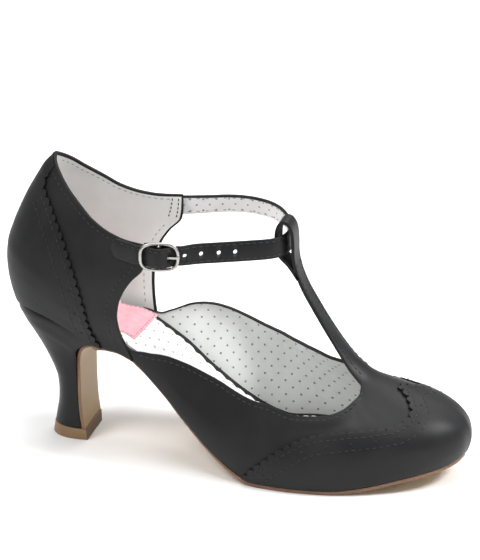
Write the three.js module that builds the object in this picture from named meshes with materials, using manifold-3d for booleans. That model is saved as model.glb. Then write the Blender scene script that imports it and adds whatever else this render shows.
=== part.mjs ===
// T strap shoe for the right foot: d'Orsay quarter and vamp on a curved covered heel,
// with an ankle strap and buckle.
// Millimetres, +X to the toe, +Y to the inner side of the foot, +Z up,
// origin on the floor under the heel lift.
import * as THREE from 'three';
import { mergeVertices } from 'three/addons/utils/BufferGeometryUtils.js';
import Module from 'manifold-3d';

// Overall sizes
const shoeLength = 222;
const ballWidth = 76;
const heelHeight = 69.4;
const quarterHeight = 72;
const instepHeight = 45;

// Upper
const upperWall = 1.8;
const overlayThickness = 0.9;
const loopDepth = 9.5;
const loopWidth = 10;

// Bottom
const soleThickness = 2;
const shankThickness = 1.4;
const insoleThickness = 3;
const sockThickness = 1.2;
const liftHeight = 5.8;

// Ankle strap and buckle
const strapWidth = 9;
const strapThickness = 1.5;
const holeDiameter = 2;
const holePitch = 8;
const holeCount = 5;
const buckleLength = 18.8;
const buckleHeight = 14.4;
const buckleWire = 1.6;
const prongDiameter = 1.1;
const tabThickness = 0.6;
const tabWidth = 7;
const barDiameter = 1.2;
const eyeWall = 0.6;
const eyeWidth = 1.7;
const prongOverhang = 0.9;

// Clearances
const seamGap = 0.3;
const overlayGap = 0.35;
const shankGap = 0.5;
const runningGap = 0.25;

// Tables: each row is a section, with its lengths as shares of the sizes named in the functions below
const bottomRise = [
  // x, rise
  [-0.1532, 1],
  [-0.0766, 0.997],
  [-0.045, 0.9837],
  [-0.018, 0.9614],
  [0.0045, 0.9318],
  [0.027, 0.8961],
  [0.045, 0.865],
  [0.0631, 0.8294],
  [0.0811, 0.7982],
  [0.0991, 0.7819],
  [0.1216, 0.77],
  [0.1486, 0.73],
  [0.1802, 0.6588],
  [0.2072, 0.5831],
  [0.2365, 0.4955],
  [0.2703, 0.3798],
  [0.3018, 0.2804],
  [0.3311, 0.1944],
  [0.3604, 0.1217],
  [0.3874, 0.0653],
  [0.4144, 0.0237],
  [0.4369, 0.003],
  [0.4505, 0],
  [0.5766, 0],
  [0.6126, 0.0045],
  [0.6486, 0.0178],
  [0.6937, 0.0445],
  [0.7387, 0.0772],
  [0.7838, 0.1039],
  [0.8198, 0.1217],
  [0.8649, 0.1484],
];
const archBank = [
  // x, bank
  [-0.1532, 0],
  [0.0811, 0],
  [0.1351, 0.0178],
  [0.1892, 0.0445],
  [0.2342, 0.0564],
  [0.2973, 0.0564],
  [0.3604, 0.0415],
  [0.4144, 0.0178],
  [0.4595, 0],
  [0.8649, 0],
];
const bottomOutline = [
  // q, x, lateral, medial
  [0.345, 0.1599, 0.3132, 0.275],
  [0.37, 0.1824, 0.3237, 0.2711],
  [0.42, 0.2297, 0.3553, 0.2789],
  [0.48, 0.2905, 0.4013, 0.3105],
  [0.55, 0.3604, 0.4579, 0.3684],
  [0.62, 0.4324, 0.5026, 0.4368],
  [0.7, 0.5135, 0.5197, 0.4868],
  [0.77, 0.5901, 0.5, 0.4855],
  [0.84, 0.6667, 0.4461, 0.4461],
  [0.9, 0.7365, 0.3684, 0.3789],
  [0.93, 0.7725, 0.3132, 0.3289],
  [0.96, 0.8086, 0.2342, 0.2553],
  [0.98, 0.8342, 0.1474, 0.1763],
  [0.99, 0.8464, 0.0789, 0.1132],
  [1, 0.8532, -0.0158, 0.0158],
];
const quarterSections = [
  // t, back, front, lateral, medial, backSpan, side, sideSpan
  [0, -0.1185, 0.1599, 0.3079, 0.2724, 0.2803, -0.036, 0.3632],
  [0.11, -0.1293, 0.1505, 0.3368, 0.3079, 0.2763, -0.0405, 0.3921],
  [0.21, -0.1356, 0.1432, 0.375, 0.35, 0.2697, -0.0405, 0.4105],
  [0.3, -0.1378, 0.1392, 0.4026, 0.3842, 0.2632, -0.036, 0.4211],
  [0.38, -0.136, 0.1378, 0.4184, 0.4079, 0.2566, -0.0315, 0.4211],
  [0.5, -0.1243, 0.1423, 0.4289, 0.4237, 0.2434, -0.0135, 0.4145],
  [0.6, -0.1108, 0.1532, 0.4342, 0.4316, 0.2303, 0.0045, 0.4079],
  [0.7, -0.0955, 0.1712, 0.4368, 0.4342, 0.2171, 0.0225, 0.3947],
  [0.81, -0.0752, 0.1973, 0.4368, 0.4368, 0.2039, 0.045, 0.3816],
  [0.9, -0.0577, 0.2, 0.4342, 0.4342, 0.1934, 0.0676, 0.3684],
  [1, -0.0356, 0.1995, 0.4342, 0.4342, 0.1842, 0.0901, 0.3553],
];
const collarRise = [
  // s, rise
  [0, 1.01],
  [0.125, 0.975],
  [0.25, 0.926],
  [0.375, 0.853],
  [0.5, 0.776],
  [0.625, 0.692],
  [0.75, 0.639],
  [0.875, 0.613],
  [1, 0.608],
];
const toplineLateral = [
  // q, x, y, rise
  [0.31, 0.1216, 0.3158, 0.0733],
  [0.345, 0.1577, 0.325, 0.1198],
  [0.37, 0.1847, 0.3237, 0.2152],
  [0.42, 0.2297, 0.3237, 0.4039],
  [0.48, 0.2928, 0.3276, 0.6341],
  [0.55, 0.3694, 0.3553, 0.7946],
  [0.62, 0.4459, 0.3947, 0.8282],
  [0.7, 0.518, 0.4118, 0.7489],
  [0.77, 0.5721, 0.3789, 0.7444],
  [0.84, 0.6104, 0.3145, 0.7695],
  [0.9, 0.6306, 0.2289, 0.8185],
  [0.94, 0.6405, 0.1671, 0.8722],
  [0.965, 0.6392, 0.1263, 0.9397],
];
const toplineMedial = [
  // q, x, y, rise
  [0.31, 0.1216, 0.2842, 0.0731],
  [0.345, 0.1599, 0.2947, 0.0996],
  [0.37, 0.1802, 0.3197, 0.1699],
  [0.42, 0.2252, 0.3763, 0.4046],
  [0.48, 0.2815, 0.4289, 0.6656],
  [0.55, 0.3559, 0.4632, 0.8535],
  [0.62, 0.4279, 0.4474, 0.9588],
  [0.7, 0.491, 0.3921, 0.9067],
  [0.77, 0.5383, 0.3289, 0.8756],
  [0.81, 0.5676, 0.2789, 0.8889],
  [0.85, 0.5928, 0.2355, 0.8938],
  [0.9, 0.6198, 0.1921, 0.8996],
  [0.94, 0.6329, 0.1579, 0.9149],
  [0.965, 0.6392, 0.1263, 0.9397],
];
const wallFullness = [
  // q, out, rise, topOut, topDrop
  [0.31, 0.0039, 0.0333, 0.0039, 0.0333],
  [0.37, 0.0105, 0.0489, 0.0066, 0.0444],
  [0.42, 0.0237, 0.1111, 0.0158, 0.1111],
  [0.48, 0.0342, 0.1889, 0.0289, 0.2],
  [0.55, 0.0421, 0.2444, 0.0421, 0.2444],
  [0.62, 0.0474, 0.2778, 0.0526, 0.2444],
  [0.7, 0.0474, 0.3111, 0.0605, 0.2222],
  [0.77, 0.0553, 0.3778, 0.0789, 0.1778],
  [0.84, 0.0711, 0.4444, 0.1118, 0.1667],
  [0.9, 0.0987, 0.5111, 0.1447, 0.1778],
  [0.95, 0.1289, 0.5422, 0.1711, 0.2489],
  [1, 0.1632, 0.5667, 0.1803, 0.28],
];
const tStrapLine = [
  // v, x, rise, half, setBack, setDown
  [0, 0.6459, 0, 0.1263, 0.0197, 0.0447],
  [0.112, 0.6216, 0.0864, 0.1079, 0.0171, 0.0316],
  [0.217, 0.6009, 0.1847, 0.0921, 0.0132, 0.0197],
  [0.353, 0.5766, 0.3163, 0.0789, 0.0079, 0.0092],
  [0.505, 0.5514, 0.4676, 0.0711, 0.0026, 0.0026],
  [0.645, 0.5302, 0.613, 0.0671, 0, 0],
  [0.79, 0.5104, 0.7662, 0.0658, 0, 0],
  [0.9, 0.4982, 0.8919, 0.0658, 0, 0],
  [1, 0.491, 1, 0.0658, 0, 0],
];
const heelSections = [
  // v, back, front, frontHalf, backSpan, side, sideHalf
  [0, -0.0441, 0.027, 0.1618, 0.1118, -0.0158, 0.1737],
  [0.095, -0.0396, 0.0248, 0.1658, 0.1118, -0.0135, 0.1789],
  [0.19, -0.0356, 0.023, 0.1697, 0.1118, -0.0113, 0.1829],
  [0.27, -0.0347, 0.0221, 0.1711, 0.1132, -0.0113, 0.1855],
  [0.38, -0.0369, 0.0216, 0.1724, 0.1184, -0.0135, 0.1921],
  [0.475, -0.045, 0.0216, 0.175, 0.1289, -0.0203, 0.2053],
  [0.555, -0.0541, 0.0216, 0.1803, 0.1447, -0.027, 0.2237],
  [0.68, -0.0712, 0.0221, 0.1974, 0.1776, -0.0338, 0.2658],
  [0.797, -0.0901, 0.023, 0.2263, 0.2171, -0.0383, 0.3158],
  [0.867, -0.1036, 0.0284, 0.2553, 0.2395, -0.0383, 0.3447],
  [0.917, -0.1122, 0.0392, 0.2763, 0.2526, -0.0369, 0.35],
  [0.955, -0.118, 0.0523, 0.2947, 0.2592, -0.036, 0.3579],
  [1, -0.1185, 0.0748, 0.3079, 0.2632, -0.036, 0.3684],
];
const breastLine = [
  // x, rise, half
  [0.0356, 0, 0.1618],
  [0.0315, 0.1447, 0.1671],
  [0.0293, 0.3335, 0.1697],
  [0.0288, 0.5433, 0.1697],
  [0.0293, 0.7321, 0.1763],
  [0.0333, 0.8412, 0.1921],
  [0.0432, 0.9209, 0.2184],
  [0.0613, 0.9775, 0.2526],
  [0.0901, 1, 0.2895],
];
const strapLine = [
  // x, y, rise, lean
  [0.2541, 0.5079, 0.5264, 0.2],
  [0.2847, 0.5382, 0.5292, 0.24],
  [0.3162, 0.5526, 0.5306, 0.26],
  [0.35, 0.5421, 0.5319, 0.26],
  [0.3869, 0.4974, 0.5333, 0.24],
  [0.4185, 0.4132, 0.5361, 0.2],
  [0.445, 0.2895, 0.5375, 0.14],
  [0.4631, 0.1579, 0.5389, 0.1],
  [0.4685, 0.0658, 0.5403, 0.08],
  [0.468, 0, 0.5403, 0.08],
  [0.4622, -0.0684, 0.5403, 0.1],
  [0.4459, -0.1316, 0.5417, 0.14],
  [0.405, -0.2026, 0.5444, 0.2],
  [0.3486, -0.2882, 0.5486, 0.2],
  [0.3063, -0.3513, 0.5514, 0.16],
];
const liftSections = [
  // level, back, front, frontHalf, backSpan, side, sideHalf
  [0, -0.0495, 0.0401, 0.1526, 0.1211, -0.0158, 0.1776],
  [1, -0.0455, 0.0378, 0.1632, 0.1145, -0.0158, 0.1763],
];
const loopOuter = [
  // x, z
  [0.5579, -1.4333],
  [0.5263, -0.9778],
  [0.4737, -0.4778],
  [0.4737, 0.0778],
  [0.4421, 0.6333],
  [0.3263, 1.0333],
  [0.1158, 1.2889],
  [-0.1053, 1.3333],
  [-0.3263, 1.1889],
  [-0.4737, 0.8778],
  [-0.5263, 0.4667],
  [-0.5263, -0.0333],
  [-0.4737, -0.4556],
  [-0.2, -0.7889],
  [0.1368, -1.0778],
  [0.3263, -1.4333],
  [0.4947, -1.7444],
  [0.6316, -1.6778],
];
const loopHole = [
  // x, z
  [0.2947, -0.6778],
  [0.2947, -0.0333],
  [0.2632, 0.5222],
  [0.1474, 0.9222],
  [0, 1.1111],
  [-0.1474, 1.1],
  [-0.2737, 0.8778],
  [-0.3474, 0.4667],
  [-0.3579, -0.0333],
  [-0.3053, -0.3222],
  [-0.1053, -0.5667],
  [0.1368, -0.7111],
];
const toeCapEdge = [
  // w, t
  [-0.395, 0],
  [-0.378, 0.16],
  [-0.352, 0.31],
  [-0.322, 0.47],
  [-0.295, 0.59],
  [-0.268, 0.665],
  [-0.224, 0.7],
  [-0.172, 0.675],
  [-0.127, 0.61],
  [-0.086, 0.55],
  [-0.057, 0.53],
  [-0.036, 0.535],
  [-0.023, 0.565],
  [-0.012, 0.65],
  [0, 0.75],
  [0.012, 0.65],
  [0.023, 0.565],
  [0.036, 0.535],
  [0.057, 0.53],
  [0.086, 0.55],
  [0.127, 0.61],
  [0.172, 0.675],
  [0.224, 0.7],
  [0.268, 0.665],
  [0.295, 0.59],
  [0.322, 0.47],
  [0.352, 0.31],
  [0.378, 0.16],
  [0.395, 0],
];
const counterEdge = [
  // s, t
  [0, 0.988],
  [0.16, 0.988],
  [0.185, 0.955],
  [0.2, 0.91],
  [0.25, 0.866],
  [0.3, 0.856],
  [0.36, 0.845],
  [0.44, 0.815],
  [0.5, 0.785],
  [0.56, 0.752],
  [0.61, 0.716],
  [0.66, 0.672],
  [0.7, 0.632],
  [0.75, 0.574],
  [0.79, 0.515],
  [0.82, 0.455],
];
const counterTail = [
  // t, s
  [0, 0.885],
  [0.12, 0.868],
  [0.25, 0.862],
  [0.36, 0.853],
  [0.44, 0.83],
  [0.5, 0.822],
];

// Places of the fittings: x, y and z as shares of shoe length, ball width and quarter height,
// and s and t on the quarter
const loopPlace = { x: 0.468, z: 0.5403 };
const bucklePlace = { x: 0.2356, y: -0.4513, z: 0.5475 };
const innerEar = { s: [0.86, 0.93, 0.99], t: 0.9, lean: 0.06 };
const outerEar = { s: [-0.91, -0.87, -0.83], t: 0.925, lean: 0.05 };

const lateral = -1;
const medial = 1;
const waistStart = 0.31;
const quarterEnd = 0.345;
const strapRoot = 0.965;
const overlayFoot = 0.014;

// Reads one column of a table at x, with a smooth curve that does not overshoot the rows
function column(rows, x, c) {
  const n = rows.length;
  const xx = Math.min(Math.max(x, rows[0][0]), rows[n - 1][0]);
  let i = 0;
  while (i < n - 2 && xx > rows[i + 1][0]) i += 1;
  const step = (k) => rows[k + 1][0] - rows[k][0];
  const rate = (k) => (rows[k + 1][c] - rows[k][c]) / step(k);
  const slope = (k) => {
    if (k === 0) return rate(0);
    if (k === n - 1) return rate(n - 2);
    const a = rate(k - 1);
    const b = rate(k);
    if (a * b <= 0) return 0;
    const h = step(k - 1);
    const g = step(k);
    return (3 * (h + g)) / ((2 * g + h) / a + (g + 2 * h) / b);
  };
  const h = step(i);
  const t = (xx - rows[i][0]) / h;
  const t2 = t * t;
  const t3 = t2 * t;
  return (2 * t3 - 3 * t2 + 1) * rows[i][c] + (t3 - 2 * t2 + t) * h * slope(i)
    + (-2 * t3 + 3 * t2) * rows[i + 1][c] + (t3 - t2) * h * slope(i + 1);
}

const vec = (x, y, z) => new THREE.Vector3(x, y, z);
const mix = (a, b, t) => a + (b - a) * t;
const ease = (a, b, x) => {
  const t = Math.min(Math.max((x - a) / (b - a), 0), 1);
  return t * t * (3 - 2 * t);
};

function bezier(p0, p1, p2, p3, t) {
  const s = 1 - t;
  return p0.clone().multiplyScalar(s * s * s)
    .addScaledVector(p1, 3 * s * s * t)
    .addScaledVector(p2, 3 * s * t * t)
    .addScaledVector(p3, t * t * t);
}

// Bottom of the upper: plan outline, height of the seat and shank, and the raised inner arch
function seatZ(x) {
  return soleThickness + (heelHeight - soleThickness) * column(bottomRise, x / shoeLength, 1);
}

function bankZ(x) {
  return (heelHeight - soleThickness) * column(archBank, x / shoeLength, 1);
}

function quarterPlan(s, t) {
  const side = s < 0 ? lateral : medial;
  const u = Math.abs(s);
  const back = shoeLength * column(quarterSections, t, 1);
  const front = shoeLength * column(quarterSections, t, 2);
  const half = ballWidth * column(quarterSections, t, side < 0 ? 3 : 4);
  const span = ballWidth * column(quarterSections, t, 5);
  const sideX = shoeLength * column(quarterSections, t, 6);
  const sideY = ballWidth * column(quarterSections, t, 7);
  const p = bezier(vec(back, 0, 0), vec(back, side * span, 0), vec(sideX, side * sideY, 0),
    vec(front, side * half, 0), u);
  return p;
}

function outline(side, q) {
  if (q <= quarterEnd) return quarterPlan(side * Math.max(q / quarterEnd, 1e-6), 0);
  const x = shoeLength * column(bottomOutline, q, 1);
  const y = ballWidth * column(bottomOutline, q, side < 0 ? 2 : 3);
  return vec(x, side * y, 0);
}

// Outward direction of the plan outline
function outlineNormal(side, q) {
  if (q <= 0) return vec(-1, 0, 0);
  if (q >= 1) return vec(1, 0, 0);
  const a = outline(side, Math.max(q - 0.004, 0));
  const b = outline(side, Math.min(q + 0.004, 1));
  const d = b.sub(a).normalize();
  return side < 0 ? vec(d.y, -d.x, 0) : vec(-d.y, d.x, 0);
}

function footing(side, q) {
  const p = outline(side, q);
  p.z = seatZ(p.x) + (side > 0 ? bankZ(p.x) : 0);
  return p;
}

// Quarter: s from the outer front edge (-1) round the heel to the inner front edge (1), t up to the collar
function quarterPoint(s, t) {
  const side = s < 0 ? lateral : medial;
  const low = footing(side, Math.abs(s) * quarterEnd).z;
  const high = heelHeight + quarterHeight * column(collarRise, Math.abs(s), 1);
  const p = quarterPlan(s, t);
  p.z = mix(low, high, t);
  return p;
}

// Height where the T-strap meets its loop, just under the ankle strap
const tStrapTopZ = () => heelHeight + quarterHeight * loopPlace.z - strapWidth * 0.978;

// T-strap: v up the strap, c across it
function tStrapPoint(c, v) {
  const rootX = shoeLength * tStrapLine[0][1];
  const rootZ = seatZ(rootX) + instepHeight;
  const x = shoeLength * column(tStrapLine, v, 1);
  const z = mix(rootZ, tStrapTopZ(), column(tStrapLine, v, 2));
  const half = ballWidth * column(tStrapLine, v, 3);
  const back = ballWidth * column(tStrapLine, v, 4);
  const down = ballWidth * column(tStrapLine, v, 5);
  return vec(x - back * c * c, c * half, z - down * c * c);
}

function topline(side, q) {
  if (q >= strapRoot) return tStrapPoint((side * (1 - q)) / (1 - strapRoot), 0);
  const rows = side < 0 ? toplineLateral : toplineMedial;
  const x = shoeLength * column(rows, q, 1);
  const y = side * ballWidth * column(rows, q, 2);
  const z = seatZ(x) + (side > 0 ? bankZ(x) : 0) + instepHeight * column(rows, q, 3);
  return vec(x, y, z);
}

// Vamp: q from the waist to the toe tip on one side, t from the sole to the throat
function vampPoint(side, q, t) {
  const low = footing(side, q);
  const top = topline(side, q);
  const out = outlineNormal(side, q);
  const p1 = low.clone().addScaledVector(out, ballWidth * column(wallFullness, q, 1));
  p1.z += instepHeight * column(wallFullness, q, 2);
  const p2 = top.clone().addScaledVector(out, ballWidth * column(wallFullness, q, 3));
  p2.z -= instepHeight * column(wallFullness, q, 4);
  const p = bezier(low, p1, p2, top, t);
  const tuck = (upperWall / 2) * (1 - ease(quarterEnd, quarterEnd + 0.05, q));
  return p.addScaledVector(out, -tuck);
}

// Point of a surface moved along its own outward normal
function offset(surface, a, b, distance, aRange = [0, 1], bRange = [0, 1]) {
  const e = 1e-3;
  const p = surface(a, b);
  if (distance === 0) return p;
  const a0 = Math.max(a - e, aRange[0]);
  const a1 = Math.min(a + e, aRange[1]);
  const b0 = Math.max(b - e, bRange[0]);
  const b1 = Math.min(b + e, bRange[1]);
  const da = surface(a1, b).sub(surface(a0, b));
  const db = surface(a, b1).sub(surface(a, b0));
  return p.addScaledVector(da.cross(db).normalize(), distance);
}

const onQuarter = (s, t, d) => offset(quarterPoint, s, t, -d, [-1, 1]);
// w runs from the outer waist (-1) over the toe tip (0) to the inner waist (1)
const overVamp = (w, t) => vampPoint(w < 0 ? lateral : medial, 1 - Math.abs(w), t);
const onVamp = (w, t, d) => offset(overVamp, w, t, d, [-1, 1]);
const onStrap = (c, v, d) => offset(tStrapPoint, c, v, d, [-1, 1]);

// A skin of quads with an inner partner for each vertex; solid() closes it all round
class Skin {
  constructor() {
    this.outer = [];
    this.inner = [];
    this.index = new Map();
    this.faces = [];
  }

  vertex(p, r) {
    const key = `${p.x.toFixed(3)} ${p.y.toFixed(3)} ${p.z.toFixed(3)}`;
    if (!this.index.has(key)) {
      this.index.set(key, this.outer.length);
      this.outer.push(p);
      this.inner.push(r);
    }
    return this.index.get(key);
  }

  quad(a, b, c, d) {
    if (a !== b && b !== c && a !== c) this.faces.push([a, b, c]);
    if (a !== c && c !== d && a !== d) this.faces.push([a, c, d]);
  }

  grid(rows) {
    for (let i = 0; i + 1 < rows.length; i += 1) {
      for (let j = 0; j + 1 < rows[i].length; j += 1) {
        this.quad(rows[i][j], rows[i + 1][j], rows[i + 1][j + 1], rows[i][j + 1]);
      }
    }
  }

  solid() {
    const at = [...this.outer, ...this.inner];
    const n = this.outer.length;
    const tris = [];
    const edges = new Map();
    this.faces.forEach(([a, b, c]) => {
      tris.push([a, b, c], [a + n, c + n, b + n]);
      [[a, b], [b, c], [c, a]].forEach(([u, v]) => {
        if (edges.has(`${v},${u}`)) edges.delete(`${v},${u}`);
        else edges.set(`${u},${v}`, [u, v]);
      });
    });
    edges.forEach(([u, v]) => tris.push([v, u, u + n], [v, u + n, v + n]));
    return solidFrom(at, tris);
  }
}

// Solids and their booleans
const wasm = await Module();
wasm.setup();

function solidFrom(points, tris) {
  const position = [];
  tris.forEach((tri) => tri.forEach((k) => position.push(points[k].x, points[k].y, points[k].z)));
  const geometry = new THREE.BufferGeometry();
  geometry.setAttribute('position', new THREE.Float32BufferAttribute(position, 3));
  return solidOf(geometry);
}

function solidOf(geometry) {
  const bare = geometry.index ? geometry.toNonIndexed() : geometry.clone();
  bare.deleteAttribute('normal');
  bare.deleteAttribute('uv');
  const merged = mergeVertices(bare, 1e-4);
  const index = merged.index.array;
  const triVerts = [];
  for (let i = 0; i < index.length; i += 3) {
    const [a, b, c] = [index[i], index[i + 1], index[i + 2]];
    if (a !== b && b !== c && c !== a) triVerts.push(a, b, c);
  }
  const vertProperties = new Float32Array(merged.attributes.position.array);
  let solid = new wasm.Manifold(new wasm.Mesh({
    numProp: 3, vertProperties, triVerts: new Uint32Array(triVerts),
  }));
  if (solid.volume() < 0) {
    for (let i = 0; i < triVerts.length; i += 3) {
      [triVerts[i + 1], triVerts[i + 2]] = [triVerts[i + 2], triVerts[i + 1]];
    }
    solid = new wasm.Manifold(new wasm.Mesh({
      numProp: 3, vertProperties, triVerts: new Uint32Array(triVerts),
    }));
  }
  return solid;
}

function geometryOf(solid) {
  const mesh = solid.getMesh();
  const position = [];
  for (let i = 0; i < mesh.triVerts.length; i += 1) {
    const k = mesh.triVerts[i] * mesh.numProp;
    position.push(mesh.vertProperties[k], mesh.vertProperties[k + 1], mesh.vertProperties[k + 2]);
  }
  const geometry = new THREE.BufferGeometry();
  geometry.setAttribute('position', new THREE.Float32BufferAttribute(position, 3));
  geometry.computeVertexNormals();
  return geometry;
}

// Splits a span into n equal steps
const steps = (a, b, n) => Array.from({ length: n + 1 }, (_, i) => mix(a, b, i / n));

// Quarter of the upper
const quarterColumns = steps(-1, 1, 32);
const quarterLevels = steps(0, 1, 11);

function quarterSolid() {
  const skin = new Skin();
  const rows = quarterColumns.map((s) => quarterLevels
    .map((t) => skin.vertex(onQuarter(s, t, 0), onQuarter(s, t, -upperWall))));
  skin.grid(rows);
  return skin.solid();
}

// Vamp and T-strap of the upper
const root = 1 - strapRoot;
const halfColumns = [-0.69, -0.673, -0.655, -0.63, -0.6, -0.565, -0.53, -0.49, -0.445,
  ...steps(-0.4, -0.12, 8),
  ...steps(-0.12, -root, 5).slice(1)];
const acrossStrap = steps(-1, 1, 8);
const vampColumns = [...halfColumns, ...acrossStrap.slice(1, -1).map((c) => c * root),
  ...halfColumns.slice().reverse().map((w) => -w)];
const vampLevels = steps(0, 1, 9);

function vampSolid() {
  const skin = new Skin();
  const main = vampColumns.map((w) => vampLevels.map((t) => {
    const isRoot = t === 1 && Math.abs(w) <= root + 1e-9;
    if (isRoot) return skin.vertex(onStrap(w / root, 0, 0), onStrap(w / root, 0, -upperWall));
    return skin.vertex(onVamp(w, t, 0), onVamp(w, t, -upperWall));
  }));
  skin.grid(main);
  const strap = acrossStrap.map((c) => steps(0, 1, 16)
    .map((v) => skin.vertex(onStrap(c, v, 0), onStrap(c, v, -upperWall))));
  skin.grid(strap);
  return skin.solid();
}

// Overlay cut from a surface: rows of [a, b] pairs, raised by the seam gap and its own thickness
function overlaySolid(onSurface, rows) {
  const skin = new Skin();
  skin.grid(rows.map((row) => row.map(([a, b]) => skin.vertex(
    onSurface(a, b, overlayGap + overlayThickness), onSurface(a, b, overlayGap)))));
  return skin.solid();
}

// The overlays keep the columns and rows of the surface under them, stopped at their own edge
function toeCapSolid() {
  const last = toeCapEdge[toeCapEdge.length - 1][0];
  const ws = [-last, ...vampColumns.filter((w) => Math.abs(w) < last - 0.004), last];
  const rows = ws.map((w) => {
    const edge = column(toeCapEdge, w, 1);
    return vampLevels.map((t) => [w, Math.max(Math.min(t, edge), overlayFoot)]);
  });
  return overlaySolid(onVamp, rows);
}

function counterSolid() {
  const last = quarterColumns.filter((s) => s < 0.82).pop();
  const end = column(counterEdge, last, 1);
  const tail = (side) => quarterLevels.map((t) => {
    const level = Math.max(Math.min(t, end), overlayFoot);
    return [side * column(counterTail, level, 1), level];
  });
  const rows = quarterColumns.filter((s) => Math.abs(s) <= last).map((s) => {
    const edge = column(counterEdge, Math.abs(s), 1);
    return quarterLevels.map((t) => [s, Math.max(Math.min(t, edge), overlayFoot)]);
  });
  return overlaySolid(onQuarter, [tail(lateral), ...rows, tail(medial)]);
}

// Share of the outline at which it reaches a given length
function stationAt(x) {
  let low = 0;
  let high = 1;
  for (let k = 0; k < 30; k += 1) {
    const middle = (low + high) / 2;
    if (outline(lateral, middle).x < x) low = middle;
    else high = middle;
  }
  return low;
}

// Cross rows of a bottom layer, inset from the outline, between two heights over the seat
function layerSolid(qs, inset, lower, upper, across) {
  const skin = new Skin();
  const rows = qs.map((q) => {
    const a = outline(lateral, q).addScaledVector(outlineNormal(lateral, q), -inset(q));
    const b = outline(medial, q).addScaledVector(outlineNormal(medial, q), -inset(q));
    return steps(0, 1, across).map((k) => {
      const p = a.clone().lerp(b, k);
      const bed = seatZ(p.x) + k * bankZ(p.x);
      return skin.vertex(vec(p.x, p.y, bed + lower(p.x)), vec(p.x, p.y, bed + upper(p.x)));
    });
  });
  skin.grid(rows);
  return skin.solid();
}

const bedStations = [0, 0.012, 0.03, 0.055, ...steps(0.09, 0.9, 20), 0.93, 0.955, 0.975, 0.99, 1];
const insideWall = upperWall + seamGap;

function insoleSolid() {
  const inset = (q) => insideWall + 1.2 * ease(0.24, 0.3, q) * (1 - ease(0.36, 0.44, q));
  return layerSolid(bedStations, inset, () => seamGap, () => seamGap + insoleThickness, 3);
}

function sockSolid() {
  const inset = (q) => insideWall + 1.6 + 1.2 * ease(0.24, 0.3, q) * (1 - ease(0.36, 0.44, q));
  const low = 2 * seamGap + insoleThickness;
  return layerSolid(bedStations, inset, () => low, () => low + sockThickness, 3);
}

// Outsole: up the heel breast, over the arch and forward under the whole foot
const liftTop = liftHeight + seamGap;
const shankLead = 2.5;
const shankRun = 2;
const archX = shoeLength * breastLine[breastLine.length - 1][0];
const soleAt = (x) => mix(shankThickness, soleThickness, ease(0.33 * shoeLength, 0.45 * shoeLength, x));

function breastPoint(k) {
  const n = breastLine.length - 1;
  const i = Math.min(Math.floor(k * n), n - 1);
  const f = k * n - i;
  const row = (c) => mix(breastLine[i][c], breastLine[i + 1][c], f);
  const z = mix(liftTop, seatZ(archX) - shankThickness, row(1));
  return { x: shoeLength * row(0), z, half: ballWidth * row(2) };
}

function outsoleSolid() {
  const skin = new Skin();
  const rows = [];
  const n = breastLine.length - 1;
  for (let i = 0; i < n; i += 1) {
    const here = breastPoint(i / n);
    const before = breastPoint(Math.max(i - 0.5, 0) / n);
    const after = breastPoint((i + 0.5) / n);
    const d = vec(after.x - before.x, 0, after.z - before.z).normalize();
    const thick = shankThickness - seamGap;
    rows.push(steps(-1, 1, 6).map((k) => skin.vertex(
      vec(here.x, k * here.half, here.z),
      vec(here.x - d.z * thick, k * here.half, here.z + d.x * thick * (i === 0 ? 0 : 1)))));
  }
  const corner = breastPoint((n - 1) / n);
  const shankX = archX + shankRun;
  const shankZ = seatZ(shankX) - shankThickness;
  const stations = [stationAt(archX - shankLead), ...steps(stationAt(archX), 0.44, 9),
    ...steps(0.44, 0.9, 15).slice(1),
    0.93, 0.955, 0.975, 0.99, 1];
  stations.forEach((q) => {
    const margin = mix(-1.6, 0.5, ease(0.3, 0.66, q));
    const a = outline(lateral, q).addScaledVector(outlineNormal(lateral, q), margin);
    const b = outline(medial, q).addScaledVector(outlineNormal(medial, q), margin);
    rows.push(steps(0, 1, 6).map((k) => {
      const p = a.clone().lerp(b, k);
      const bed = seatZ(p.x) + k * bankZ(p.x);
      const arch = mix(corner.z, shankZ, (p.x - corner.x) / (shankX - corner.x));
      const bottom = p.x < shankX ? arch : bed - soleAt(p.x);
      const gap = mix(shankGap, seamGap, ease(0.45, 0.55, q));
      return skin.vertex(vec(p.x, p.y, bottom), vec(p.x, p.y, bed - gap));
    }));
  });
  skin.grid(rows);
  return skin.solid();
}

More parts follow.
